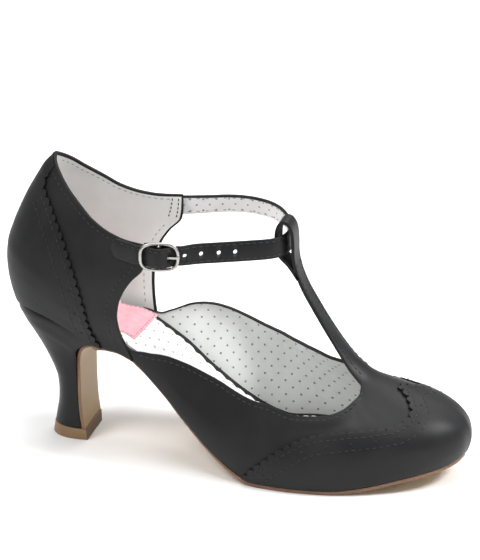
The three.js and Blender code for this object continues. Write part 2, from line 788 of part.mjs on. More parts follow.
// Closed body of stacked D sections: section(level, side, u) runs from the back centre to the front corner
function stackSolid(levels, section, around, across) {
  const points = [];
  const tris = [];
  const at = (p) => points.push(p) - 1;
  const rings = levels.map((level) => {
    const outer = steps(0, 1, around).map((u) => at(section(level, lateral, u)));
    const inner = steps(0, 1, around).map((u) => (u === 0 ? outer[0] : at(section(level, medial, u))));
    const a = points[outer[around]];
    const b = points[inner[around]];
    const front = steps(0, 1, across).map((k) => {
      if (k === 0) return outer[around];
      if (k === 1) return inner[around];
      return at(a.clone().lerp(b, k));
    });
    return [...outer, ...front.slice(1, -1), ...inner.slice(1).reverse()];
  });
  const n = rings[0].length;
  for (let i = 0; i + 1 < rings.length; i += 1) {
    for (let j = 0; j < n; j += 1) {
      const k = (j + 1) % n;
      tris.push([rings[i][j], rings[i][k], rings[i + 1][k]], [rings[i][j], rings[i + 1][k], rings[i + 1][j]]);
    }
  }
  const cap = (ring, flip) => {
    const left = ring.slice(0, around + 1);
    const right = [ring[0], ...ring.slice(around + across).reverse()];
    const rows = left.map((l, i) => {
      const a = points[l];
      const b = points[right[i]];
      return steps(0, 1, across).map((k, m) => {
        if (i === 0) return l;
        if (k === 0) return l;
        if (k === 1) return right[i];
        if (i === around) return ring[around + m];
        return at(a.clone().lerp(b, k));
      });
    });
    for (let i = 0; i + 1 < rows.length; i += 1) {
      for (let j = 0; j < across; j += 1) {
        const q = [rows[i][j], rows[i][j + 1], rows[i + 1][j + 1], rows[i + 1][j]];
        if (flip) q.reverse();
        tris.push([q[0], q[1], q[2]], [q[0], q[2], q[3]]);
      }
    }
  };
  cap(rings[0], false);
  cap(rings[rings.length - 1], true);
  return solidFrom(points, tris);
}

function dSection(rows, level, side, u) {
  const back = shoeLength * column(rows, level, 1);
  const front = shoeLength * column(rows, level, 2);
  const half = ballWidth * column(rows, level, 3);
  const span = ballWidth * column(rows, level, 4);
  const sideX = shoeLength * column(rows, level, 5);
  const sideY = ballWidth * column(rows, level, 6);
  return bezier(vec(back, 0, 0), vec(back, side * span, 0), vec(sideX, side * sideY, 0),
    vec(front, side * half, 0), u);
}

const heelReach = stationAt(shoeLength * heelSections[heelSections.length - 1][2]);

function heelPoint(level, side, u) {
  const top = outline(side, u * heelReach);
  const p = dSection(heelSections, level, side, u);
  p.lerp(top, ease(0.96, 1, level));
  p.z = mix(liftTop, seatZ(top.x) - seamGap, level);
  return p;
}

function heelSolid() {
  return stackSolid([0, 0.12, 0.24, 0.36, 0.48, 0.6, 0.7, 0.79, 0.86, 0.91, 0.95, 0.98, 1], heelPoint, 10, 4);
}

function liftSolid() {
  const section = (level, side, u) => {
    const p = dSection(liftSections, level, side, u);
    p.z = level * liftHeight;
    return p;
  };
  return stackSolid([0, 1], section, 12, 4);
}

// Ankle strap: centre line through the inner ear, the loop, the buckle and the outer ear
const strapZ = (share) => heelHeight + quarterHeight * share;
const buckleAt = vec(bucklePlace.x * shoeLength, bucklePlace.y * ballWidth, strapZ(bucklePlace.z));
const buckleTurn = 0.227;
const buckleAlong = vec(Math.cos(buckleTurn), Math.sin(buckleTurn), 0);
const buckleOut = vec(Math.sin(buckleTurn), -Math.cos(buckleTurn), 0);
const inBuckle = (x, z, out) => buckleAt.clone().addScaledVector(buckleAlong, x)
  .addScaledVector(buckleOut, out).add(vec(0, 0, z));
const wireReach = (buckleLength - buckleWire) / 2;
const tabOuter = barDiameter / 2 + runningGap + tabThickness;
const eyeOuter = barDiameter / 2 + runningGap + eyeWall;
const overBar = eyeOuter + seamGap + strapThickness / 2;
const underWire = buckleWire / 2 + runningGap + strapThickness / 2;

function strapRows() {
  const rise = seamGap + strapThickness / 2;
  const caughtAt = (ear, lift) => ear.s.map((s) => ({ p: onQuarter(s, ear.t, lift), lean: ear.lean }));
  const inner = caughtAt(innerEar, rise + 2 * runningGap);
  const free = strapLine.map(([x, y, z, lean]) => ({
    p: vec(shoeLength * x, ballWidth * y, strapZ(z)), lean,
  }));
  const caught = [[wireReach + 1.5, -underWire - 0.1], [wireReach - 1.6, -underWire + 0.1],
    [wireReach * 0.42, overBar * 0.35], [0, overBar], [-wireReach * 0.42, overBar * 0.4],
    [-wireReach + 1.6, -underWire + 0.1], [-wireReach - 1.5, -underWire - 0.1]].map(([x, out]) => ({
    p: inBuckle(x, 0, out), lean: 0,
  }));
  const outer = caughtAt(outerEar, rise + seamGap);
  return [...inner, ...free, ...caught, ...outer];
}

// Smooth path through points, walked by length
class Path {
  constructor(rows) {
    this.rows = rows;
    this.samples = [];
    let length = 0;
    for (let i = 0; i + 1 < rows.length; i += 1) {
      for (let k = 0; k < 12; k += 1) this.samples.push({ i, f: k / 12 });
    }
    this.samples.push({ i: rows.length - 2, f: 1 });
    let last = null;
    this.samples.forEach((s) => {
      s.p = this.between(s.i, s.f);
      if (last) length += s.p.distanceTo(last);
      s.length = length;
      last = s.p;
    });
    this.length = length;
  }

  // Catmull-Rom span with knots spaced by chord
  between(i, f) {
    const { rows } = this;
    const a = rows[i].p;
    const b = rows[i + 1].p;
    const h = a.distanceTo(b);
    const slope = (k) => {
      const here = rows[k].p;
      const prev = rows[Math.max(k - 1, 0)].p;
      const next = rows[Math.min(k + 1, rows.length - 1)].p;
      const span = here.distanceTo(prev) + here.distanceTo(next);
      return next.clone().sub(prev).multiplyScalar(h / span);
    };
    const f2 = f * f;
    const f3 = f2 * f;
    return a.clone().multiplyScalar(2 * f3 - 3 * f2 + 1)
      .addScaledVector(slope(i), f3 - 2 * f2 + f)
      .addScaledVector(b, -2 * f3 + 3 * f2)
      .addScaledVector(slope(i + 1), f3 - f2);
  }

  at(length) {
    const { samples } = this;
    const l = Math.min(Math.max(length, 0), this.length);
    let k = 0;
    while (k < samples.length - 2 && samples[k + 1].length < l) k += 1;
    const a = samples[k];
    const b = samples[k + 1];
    const f = (l - a.length) / Math.max(b.length - a.length, 1e-9);
    const p = a.p.clone().lerp(b.p, f);
    const r = a.i + mix(a.f, b.i === a.i ? b.f : 1, f);
    const i = Math.min(Math.floor(r), this.rows.length - 2);
    return { p, lean: mix(this.rows[i].lean, this.rows[i + 1].lean, r - i) };
  }

  // Position, direction along, outward and upward directions
  frame(length) {
    const { p, lean } = this.at(length);
    const along = this.at(length + 0.5).p.sub(this.at(length - 0.5).p).setZ(0).normalize();
    const flat = vec(-along.y, along.x, 0);
    const up = vec(0, 0, Math.cos(lean)).addScaledVector(flat, -Math.sin(lean));
    const out = flat.clone().multiplyScalar(Math.cos(lean)).add(vec(0, 0, Math.sin(lean)));
    return { p, along, out, up };
  }
}

const strapPath = new Path(strapRows());

// Length along the strap where it crosses a place in the buckle
function strapLengthAt(x) {
  let best = 0;
  let least = Infinity;
  for (let l = strapPath.length * 0.5; l < strapPath.length; l += 0.25) {
    const d = Math.abs(strapPath.at(l).p.sub(buckleAt).dot(buckleAlong) - x);
    if (d < least) {
      least = d;
      best = l;
    }
  }
  return best;
}

function rodSolid(a, b, radius, sides) {
  const rod = new THREE.CylinderGeometry(radius, radius, a.distanceTo(b), sides, 1);
  const turn = new THREE.Quaternion().setFromUnitVectors(vec(0, 1, 0), b.clone().sub(a).normalize());
  rod.applyQuaternion(turn);
  rod.translate((a.x + b.x) / 2, (a.y + b.y) / 2, (a.z + b.z) / 2);
  return solidOf(rod);
}

const prongFrom = inBuckle(0.2, 0, 0.2);
const prongTo = inBuckle(wireReach + prongOverhang, 0, buckleWire / 2 + runningGap + prongDiameter / 2);

function strapSolid() {
  const points = [];
  const tris = [];
  const tip = strapWidth * 0.45;
  const [near, far] = [strapLengthAt(wireReach + 4), strapLengthAt(-wireReach - 3)];
  const lengths = [...steps(0, near, 34), ...steps(near, far, 26).slice(1),
    ...steps(far, strapPath.length, 5).slice(1)];
  const count = lengths.length - 1;
  const rings = lengths.map((l) => {
    const f = strapPath.frame(l);
    const left = Math.max(strapPath.length - l, 0);
    const share = left >= tip ? 1 : Math.sqrt(1 - ((tip - left) / tip) ** 2 * 0.86);
    const w = (strapWidth / 2) * share;
    const t = strapThickness / 2;
    return [[-w, -t], [w, -t], [w, t], [-w, t]].map(([u, o]) => points.push(
      f.p.clone().addScaledVector(f.up, u).addScaledVector(f.out, o)) - 1);
  });
  for (let i = 0; i < count; i += 1) {
    for (let j = 0; j < 4; j += 1) {
      const k = (j + 1) % 4;
      tris.push([rings[i][j], rings[i][k], rings[i + 1][k]], [rings[i][j], rings[i + 1][k], rings[i + 1][j]]);
    }
  }
  const [a, z] = [rings[0], rings[count]];
  tris.push([a[0], a[2], a[1]], [a[0], a[3], a[2]], [z[0], z[1], z[2]], [z[0], z[2], z[3]]);
  let solid = solidFrom(points, tris);
  const first = strapLengthAt(wireReach * 0.5);
  for (let k = 0; k < holeCount; k += 1) {
    const f = strapPath.frame(first - k * holePitch);
    const reach = strapThickness * 1.5;
    solid = solid.subtract(rodSolid(f.p.clone().addScaledVector(f.out, -reach),
      f.p.clone().addScaledVector(f.out, reach), holeDiameter / 2, 12));
  }
  return solid.subtract(rodSolid(prongFrom, prongTo, prongDiameter / 2 + runningGap, 10));
}

// Buckle frame: a rounded oblong ring of wire with a centre bar
function frameSolid() {
  const around = 32;
  const sides = 7;
  const a = wireReach;
  const b = (buckleHeight - buckleWire) / 2;
  const power = 2 / 3;
  const curve = (k) => {
    const t = (2 * Math.PI * k) / around;
    const c = Math.cos(t);
    const s = Math.sin(t);
    return [a * Math.sign(c) * Math.abs(c) ** power, b * Math.sign(s) * Math.abs(s) ** power];
  };
  const points = [];
  const tris = [];
  const rings = [];
  for (let k = 0; k < around; k += 1) {
    const [x, z] = curve(k);
    const [x0, z0] = curve(k - 0.5);
    const [x1, z1] = curve(k + 0.5);
    const n = Math.hypot(x1 - x0, z1 - z0);
    const [nx, nz] = [(z1 - z0) / n, -(x1 - x0) / n];
    rings.push(steps(0, 1, sides).slice(0, -1).map((f) => {
      const r = buckleWire / 2;
      const c = Math.cos(2 * Math.PI * f) * r;
      const o = Math.sin(2 * Math.PI * f) * r;
      return points.push(inBuckle(x + nx * c, z + nz * c, o)) - 1;
    }));
  }
  rings.forEach((ring, i) => {
    const next = rings[(i + 1) % around];
    for (let j = 0; j < sides; j += 1) {
      const k = (j + 1) % sides;
      tris.push([ring[j], ring[k], next[k]], [ring[j], next[k], next[j]]);
    }
  });
  return solidFrom(points, tris).add(rodSolid(inBuckle(0, -b, 0), inBuckle(0, b, 0), barDiameter / 2, 10));
}

// Flat profile in the buckle's along/out plane, drawn through its height
function profileInBuckle(shape, height, curveSegments) {
  const body = new THREE.ExtrudeGeometry(shape, { depth: height, bevelEnabled: false, curveSegments });
  body.translate(0, 0, -height / 2);
  const turn = new THREE.Matrix4().makeBasis(buckleAlong, buckleOut, buckleAlong.clone().cross(buckleOut));
  turn.setPosition(buckleAt);
  body.applyMatrix4(turn);
  return solidOf(body);
}

function eyeShape(inner, outer) {
  const shape = new THREE.Shape();
  shape.absarc(0, 0, outer, 0, Math.PI * 2, false);
  const bore = new THREE.Path();
  bore.absarc(0, 0, inner, 0, Math.PI * 2, true);
  shape.holes.push(bore);
  return shape;
}

function prongSolid() {
  const inner = barDiameter / 2 + runningGap;
  const eye = profileInBuckle(eyeShape(inner, eyeOuter), eyeWidth, 6);
  const bore = rodSolid(inBuckle(0, -4, 0), inBuckle(0, 4, 0), inner, 12);
  return rodSolid(prongFrom, prongTo, prongDiameter / 2, 10).add(eye).subtract(bore);
}

// Folded tab round the bar, sewn to the front edge of the outer ear
function tabSolid() {
  const ear = onQuarter(-1, 0.92, -upperWall / 2).sub(buckleAt);
  const endX = ear.dot(buckleAlong) + seamGap + 0.2;
  const endOut = ear.dot(buckleOut);
  const inner = tabOuter - tabThickness;
  const t = tabThickness;
  const shape = new THREE.Shape();
  shape.moveTo(-inner - t * 0.4, -inner * 0.2);
  shape.lineTo(-inner * 0.4, -inner - t * 0.6);
  shape.lineTo(endX * 0.55, endOut - t);
  shape.lineTo(endX, endOut - t);
  shape.lineTo(endX, endOut + t);
  shape.lineTo(endX * 0.6, endOut + t);
  shape.closePath();
  const fold = profileInBuckle(eyeShape(inner, tabOuter), tabWidth, 6);
  const solid = profileInBuckle(shape, tabWidth, 8).add(fold);
  const slot = new THREE.Shape();
  const reach = tabOuter + 1.2;
  slot.moveTo(-reach, -reach);
  slot.lineTo(reach, -reach);
  slot.lineTo(reach, reach);
  slot.lineTo(-reach, reach);
  slot.closePath();
  const bore = rodSolid(inBuckle(0, -tabWidth, 0), inBuckle(0, tabWidth, 0), inner, 12);
  return solid.subtract(profileInBuckle(slot, eyeWidth + 2 * runningGap, 4)).subtract(bore);
}

// Loop at the top of the T-strap: folded round the ankle strap and stitched back to itself
function loopSolid() {
  const nose = vec(loopPlace.x * shoeLength, 0, strapZ(loopPlace.z));
  const trace = (rows) => {
    const points = rows.map(([x, z]) => vec(nose.x + x * loopDepth, nose.z + z * strapWidth, 0));
    return new THREE.CatmullRomCurve3(points, true, 'centripetal').getPoints(34)
      .slice(0, -1).map((p) => new THREE.Vector2(p.x, p.y));
  };
  const shape = new THREE.Shape(trace(loopOuter));
  shape.holes.push(new THREE.Path(trace(loopHole)));
  const body = new THREE.ExtrudeGeometry(shape, { depth: loopWidth, bevelEnabled: false, curveSegments: 4 });
  body.translate(0, 0, -loopWidth / 2);
  body.rotateX(Math.PI / 2);
  return solidOf(body);
}

const group = new THREE.Group();
export default group;

function add(name, solid, color, roughness, metalness) {
  const material = new THREE.MeshStandardMaterial({ color, roughness, metalness });
  const mesh = new THREE.Mesh(geometryOf(solid), material);
  mesh.name = name;
  group.add(mesh);
}

const upper = quarterSolid().add(vampSolid()).add(loopSolid());
add('upper', upper, 0x1b1b1c, 0.5, 0);
add('toe_cap', toeCapSolid(), 0x1b1b1c, 0.5, 0);
add('heel_counter', counterSolid(), 0x1b1b1c, 0.5, 0);
add('insole', insoleSolid(), 0x161616, 0.7, 0);
add('sock_lining', sockSolid(), 0xe6e4e1, 0.7, 0);
add('outsole', outsoleSolid(), 0xa9835a, 0.6, 0);
add('heel', heelSolid(), 0x1b1b1c, 0.5, 0);
add('heel_lift', liftSolid(), 0x8f6a44, 0.6, 0);
add('ankle_strap', strapSolid(), 0x1b1b1c, 0.5, 0);
add('buckle_frame', frameSolid(), 0xb9b4ac, 0.35, 1);
add('buckle_prong', prongSolid(), 0xb9b4ac, 0.35, 1);
add('buckle_tab', tabSolid(), 0x1b1b1c, 0.5, 0);
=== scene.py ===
import math
from functools import lru_cache

import bmesh
import bpy
from mathutils import Matrix, Vector


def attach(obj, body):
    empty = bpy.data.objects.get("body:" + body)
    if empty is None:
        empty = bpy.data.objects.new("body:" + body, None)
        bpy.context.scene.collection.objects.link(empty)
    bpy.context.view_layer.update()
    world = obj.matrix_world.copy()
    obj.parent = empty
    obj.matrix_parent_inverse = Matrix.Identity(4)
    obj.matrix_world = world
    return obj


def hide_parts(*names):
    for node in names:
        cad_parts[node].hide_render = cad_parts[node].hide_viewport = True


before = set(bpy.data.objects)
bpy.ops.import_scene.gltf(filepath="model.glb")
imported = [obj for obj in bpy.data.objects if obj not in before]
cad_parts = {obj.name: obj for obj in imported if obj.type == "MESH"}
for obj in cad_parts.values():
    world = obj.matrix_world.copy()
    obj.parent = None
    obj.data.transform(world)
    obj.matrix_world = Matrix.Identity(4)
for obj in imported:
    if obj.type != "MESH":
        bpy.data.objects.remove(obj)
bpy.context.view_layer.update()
print("frame loaded")

mm = 0.001
lateral, medial = -1, 1


# Rows of sizes in millimetres, read with a smooth curve that never overshoots its rows
class Sections:
    def __init__(self, names, rows):
        self.names = names.split()
        self.rows = rows
        self.slopes = [[self.slope(k, c) for c in range(len(rows[0]))] for k in range(len(rows))]

    def slope(self, k, c):
        rows = self.rows
        rate = lambda i: (rows[i + 1][c] - rows[i][c]) / (rows[i + 1][0] - rows[i][0])
        if k == 0:
            return rate(0)
        if k == len(rows) - 1:
            return rate(k - 1)
        a, b = rate(k - 1), rate(k)
        if a * b <= 0:
            return 0.0
        h, g = rows[k][0] - rows[k - 1][0], rows[k + 1][0] - rows[k][0]
        return 3 * (h + g) / ((2 * g + h) / a + (g + 2 * h) / b)

    @lru_cache(maxsize=20000)
    def row(self, x):
        rows = self.rows
        x = min(max(x, rows[0][0]), rows[-1][0])
        i = 0
        while i < len(rows) - 2 and x > rows[i + 1][0]:
            i += 1
        h = rows[i + 1][0] - rows[i][0]
        t = (x - rows[i][0]) / h
        t2, t3 = t * t, t * t * t
        weights = (2 * t3 - 3 * t2 + 1, (t3 - 2 * t2 + t) * h, 3 * t2 - 2 * t3, (t3 - t2) * h)
        a, b, m, n = rows[i], rows[i + 1], self.slopes[i], self.slopes[i + 1]
        return [weights[0] * a[c] + weights[1] * m[c] + weights[2] * b[c] + weights[3] * n[c]
                for c in range(len(a))]

    def at(self, x, name):
        return self.row(x)[self.names.index(name)]


def mix(a, b, t):
    return a + (b - a) * t


def ease(a, b, x):
    t = min(max((x - a) / (b - a), 0.0), 1.0)
    return t * t * (3 - 2 * t)


def steps(a, b, n):
    return [mix(a, b, i / n) for i in range(n + 1)]


def bezier(a, b, c, d, t):
    s = 1 - t
    return a * (s * s * s) + b * (3 * s * s * t) + c * (3 * s * t * t) + d * (t * t * t)


# The last: height of its bottom along the foot, the raised inner arch and the plan outline
last = {
    "seatHeight": 69.4, "quarterHeight": 72, "soleThickness": 2.0, "shankThickness": 1.4,
    "liftHeight": 5.8, "gap": 0.3,
    "quarterEnd": 0.345, "waistStart": 0.31, "strapRoot": 0.965, "upperWall": 1.8,
    "bottom": Sections("x z", [
        (-34, 69.4), (-17, 69.2), (-10, 68.3), (-4, 66.8), (1, 64.8), (6, 62.4), (10, 60.3), (14, 57.9),
        (18, 55.8), (22, 54.7), (27, 53.9), (33, 51.2), (40, 46.4), (46, 41.3), (52.5, 35.4), (60, 27.6),
        (67, 20.9), (73.5, 15.1), (80, 10.2), (86, 6.4), (92, 3.6), (97, 2.2), (100, 2.0), (128, 2.0),
        (136, 2.3), (144, 3.2), (154, 5.0), (164, 7.2), (174, 9.0), (182, 10.2), (192, 12.0)]),
    "bank": Sections("x rise", [
        (-34, 0), (18, 0), (30, 1.2), (42, 3.0), (52, 3.8), (66, 3.8), (80, 2.8), (92, 1.2), (102, 0),
        (192, 0)]),
    "outline": Sections("q x lateral medial", [
        (0.345, 35.5, 23.8, 20.9), (0.37, 40.5, 24.6, 20.6), (0.42, 51, 27, 21.2), (0.48, 64.5, 30.5, 23.6),
        (0.55, 80, 34.8, 28), (0.62, 96, 38.2, 33.2), (0.7, 114, 39.5, 37), (0.77, 131, 38, 36.9),
        (0.84, 148, 33.9, 33.9), (0.9, 163.5, 28, 28.8), (0.93, 171.5, 23.8, 25), (0.96, 179.5, 17.8, 19.4),
        (0.98, 185.2, 11.2, 13.4), (0.99, 187.9, 6, 8.6), (1, 189.4, -1.2, 1.2)]),
    "quarter": Sections("t back front lateral medial backSpan side sideSpan", [
        (0, -26.3, 35.5, 23.4, 20.7, 21.3, -8, 27.6), (0.11, -28.7, 33.4, 25.6, 23.4, 21, -9, 29.8),
        (0.21, -30.1, 31.8, 28.5, 26.6, 20.5, -9, 31.2), (0.3, -30.6, 30.9, 30.6, 29.2, 20, -8, 32),
        (0.38, -30.2, 30.6, 31.8, 31, 19.5, -7, 32), (0.5, -27.6, 31.6, 32.6, 32.2, 18.5, -3, 31.5),
        (0.6, -24.6, 34, 33, 32.8, 17.5, 1, 31), (0.7, -21.2, 38, 33.2, 33, 16.5, 5, 30),
        (0.81, -16.7, 43.8, 33.2, 33.2, 15.5, 10, 29), (0.9, -12.8, 44.4, 33, 33, 14.7, 15, 28),
        (1, -7.9, 44.3, 33, 33, 14, 20, 27)]),
    "collar": Sections("s share", [
        (0, 1.01), (0.125, 0.975), (0.25, 0.926), (0.375, 0.853), (0.5, 0.776), (0.625, 0.692), (0.75, 0.639),
        (0.875, 0.613), (1, 0.608)]),
}


def seatZ(x):
    return last["bottom"].at(x, "z")


def bankZ(x):
    return last["bank"].at(x, "rise")


def footZ(side, x):
    return seatZ(x) + (bankZ(x) if side > 0 else 0)


def collarZ(s):
    return last["seatHeight"] + last["quarterHeight"] * last["collar"].at(s, "share")


# Rows of a topline with heights from the floor, turned into heights over the bottom of the last
def overBottom(side, rows):
    return [(q, x, y, z - footZ(side, x)) for q, x, y, z in rows]


def quarterPlan(s, t):
    side = lateral if s < 0 else medial
    _, back, front, outer, inner, backSpan, sideX, sideSpan = last["quarter"].row(t)
    half = outer if side < 0 else inner
    return bezier(Vector((back, 0, 0)), Vector((back, side * backSpan, 0)),
                  Vector((sideX, side * sideSpan, 0)), Vector((front, side * half, 0)), abs(s))


def outline(side, q):
    if q <= last["quarterEnd"]:
        return quarterPlan(side * max(q / last["quarterEnd"], 1e-6), 0)
    _, x, outer, inner = last["outline"].row(q)
    return Vector((x, side * (outer if side < 0 else inner), 0))


def outlineNormal(side, q):
    if q <= 0:
        return Vector((-1, 0, 0))
    if q >= 1:
        return Vector((1, 0, 0))
    d = (outline(side, min(q + 0.004, 1)) - outline(side, max(q - 0.004, 0))).normalized()
    return Vector((d.y, -d.x, 0)) if side < 0 else Vector((-d.y, d.x, 0))


def stationAt(x):
    low, high = 0.0, 1.0
    for _ in range(30):
        middle = (low + high) / 2
        if outline(lateral, middle).x < x:
            low = middle
        else:
            high = middle
    return low


def footing(side, q):
    p = outline(side, q)
    p.z = footZ(side, p.x)
    return p


def quarterPoint(s, t):
    side = lateral if s < 0 else medial
    p = quarterPlan(s, t)
    p.z = mix(footing(side, abs(s) * last["quarterEnd"]).z, collarZ(abs(s)), t)
    return p


# The vamp: both toplines, how full its wall is, and the T-strap that rises from its throat
vamp = {
    "lateral": Sections("q x y rise", overBottom(lateral, [
        (0.31, 27, 24, 57.2), (0.345, 35, 24.7, 55.4), (0.37, 41, 24.6, 55.3), (0.42, 51, 24.6, 55),
        (0.48, 65, 24.9, 51.3), (0.55, 82, 27, 44.6), (0.62, 99, 30, 39.3), (0.7, 115, 31.3, 35.7),
        (0.77, 127, 28.8, 35.5), (0.84, 135.5, 23.9, 36.9), (0.9, 140, 17.4, 39.5), (0.94, 142.2, 12.7, 42.2),
        (0.965, 141.9, 9.6, 45.2)])),
    "medial": Sections("q x y rise", overBottom(medial, [
        (0.31, 27, 21.6, 58), (0.345, 35.5, 22.4, 56.2), (0.37, 40, 24.3, 56.8), (0.42, 50, 28.6, 59.7),
        (0.48, 62.5, 32.6, 58.9), (0.55, 79, 35.2, 52.2), (0.62, 95, 34, 46.5), (0.7, 109, 29.8, 42.8),
        (0.77, 119.5, 25, 41.4), (0.81, 126, 21.2, 42), (0.85, 131.6, 17.9, 42.3), (0.9, 137.6, 14.6, 42.9),
        (0.94, 140.5, 12, 43.9), (0.965, 141.9, 9.6, 45.2)])),
    "fullness": Sections("q out rise topOut topDrop", [
        (0.31, 0.3, 1.5, 0.3, 1.5), (0.37, 0.8, 2.2, 0.5, 2), (0.42, 1.8, 5, 1.2, 5),
        (0.48, 2.6, 8.5, 2.2, 9), (0.55, 3.2, 11, 3.2, 11), (0.62, 3.6, 12.5, 4, 11),
        (0.7, 3.6, 14, 4.6, 10), (0.77, 4.2, 17, 6, 8), (0.84, 5.4, 20, 8.5, 7.5), (0.9, 7.5, 23, 11, 8),
        (0.95, 9.8, 24.4, 13, 11.2), (1, 12.4, 25.5, 13.7, 12.6)]),
    "strap": Sections("v x z half setBack setDown", [
        (0, 143.4, 48.6, 9.6, 1.5, 3.4), (0.112, 138, 53, 8.2, 1.3, 2.4), (0.217, 133.4, 58, 7, 1, 1.5),
        (0.353, 128, 64.7, 6, 0.6, 0.7), (0.505, 122.4, 72.4, 5.4, 0.2, 0.2), (0.645, 117.7, 79.8, 5.1, 0, 0),
        (0.79, 113.3, 87.6, 5, 0, 0), (0.9, 110.6, 94, 5, 0, 0), (1, 109, 99.5, 5, 0, 0)]),
    "loop": [(108.5, 103.5), (108.4, 109), (108.0, 113.8), (106.9, 117.4), (105, 119.7), (102.9, 120.2),
             (100.8, 119), (99.4, 116.2), (98.9, 112.5), (98.9, 108), (99.4, 104.4), (101.7, 101.2),
             (104.8, 98.2), (107.4, 94.8), (109.6, 91.4)],
}


def tStrapPoint(c, v):
    _, x, z, half, setBack, setDown = vamp["strap"].row(v)
    return Vector((x - setBack * c * c, c * half, z - setDown * c * c))


def topline(side, q):
    if q >= last["strapRoot"]:
        return tStrapPoint(side * (1 - q) / (1 - last["strapRoot"]), 0)
    _, x, y, rise = vamp["lateral" if side < 0 else "medial"].row(q)
    return Vector((x, side * y, footZ(side, x) + rise))


@lru_cache(maxsize=20000)
def vampRib(side, q):
    low, top, out = footing(side, q), topline(side, q), outlineNormal(side, q)
    _, spread, rise, topOut, topDrop = vamp["fullness"].row(q)
    a = low + out * spread + Vector((0, 0, rise))
    b = top + out * topOut - Vector((0, 0, topDrop))
    tuck = last["upperWall"] / 2 * (1 - ease(last["quarterEnd"], last["quarterEnd"] + 0.05, q))
    return [p - out * tuck for p in (low, a, b, top)]


# w runs from the outer waist over the toe tip, where it is 0, to the inner waist
def vampPoint(w, t):
    return bezier(*vampRib(lateral if w < 0 else medial, 1 - abs(w)), t)


def normalOn(surface, a, b, flip=1):
    e = 1e-3
    da = surface(min(a + e, 1), b) - surface(max(a - e, -1), b)
    db = surface(a, min(b + e, 1)) - surface(a, max(b - e, 0))
    return da.cross(db).normalized() * flip


def onVamp(w, t, d=0.0):
    return vampPoint(w, t) + normalOn(vampPoint, w, t) * d


def onQuarter(s, t, d=0.0):
    return quarterPoint(s, t) + normalOn(quarterPoint, s, t, -1) * d


def lengthsAlong(points):
    lengths = [0.0]
    for p, q in zip(points, points[1:]):
        lengths.append(lengths[-1] + (q - p).length)
    return lengths


# Walks a line at equal lengths and gives each place as the point before it, the share to the next, the length
def walk(lengths, count):
    k = 0
    for i in range(count + 1):
        want = lengths[-1] * i / count
        while k < len(lengths) - 2 and lengths[k + 1] < want:
            k += 1
        yield k, (want - lengths[k]) / max(lengths[k + 1] - lengths[k], 1e-9), want


# A smooth line through a few points, sampled at equal lengths
def smoothLine(points, spacing):
    dense = []
    n = len(points)
    for i in range(n - 1):
        a, b, c, d = points[max(i - 1, 0)], points[i], points[i + 1], points[min(i + 2, n - 1)]
        h = (c - b).length
        m = (c - a) * (h / max((b - a).length + h, 1e-9))
        k = (d - b) * (h / max((d - c).length + h, 1e-9))
        for step in range(12):
            t = step / 12
            dense.append(b * (2 * t ** 3 - 3 * t * t + 1) + m * (t ** 3 - 2 * t * t + t)
                         + c * (3 * t * t - 2 * t ** 3) + k * (t ** 3 - t * t))
    dense.append(points[-1])
    lengths = lengthsAlong(dense)
    count = max(round(lengths[-1] / spacing), 2)
    return [dense[k].lerp(dense[k + 1], min(f, 1)) for k, f, _ in walk(lengths, count)]


# One socket of a material, on which Python's operators add Math nodes
class Signal:
    def __init__(self, finish, socket):
        self.finish, self.socket = finish, socket

    def math(self, operation, *others):
        return self.finish.node("ShaderNodeMath", {"operation": operation}, enumerate((self,) + others))

    def __add__(self, other): return self.math("ADD", other)
    def __radd__(self, other): return self.math("ADD", other)
    def __sub__(self, other): return self.math("SUBTRACT", other)
    def __rsub__(self, other): return self.finish.value(other).math("SUBTRACT", self)
    def __mul__(self, other): return self.math("MULTIPLY", other)
    def __rmul__(self, other): return self.math("MULTIPLY", other)
    def __truediv__(self, other): return self.math("DIVIDE", other)
    def fraction(self): return self.math("FRACT")
    def smallest(self, other): return self.math("MINIMUM", other)

    # 0 below low, 1 above high, with a soft step between
    def between(self, low, high):
        return self.finish.node("ShaderNodeMapRange", {"interpolation_type": "SMOOTHSTEP", "clamp": True},
                                {"Value": self, "From Min": low, "From Max": high})


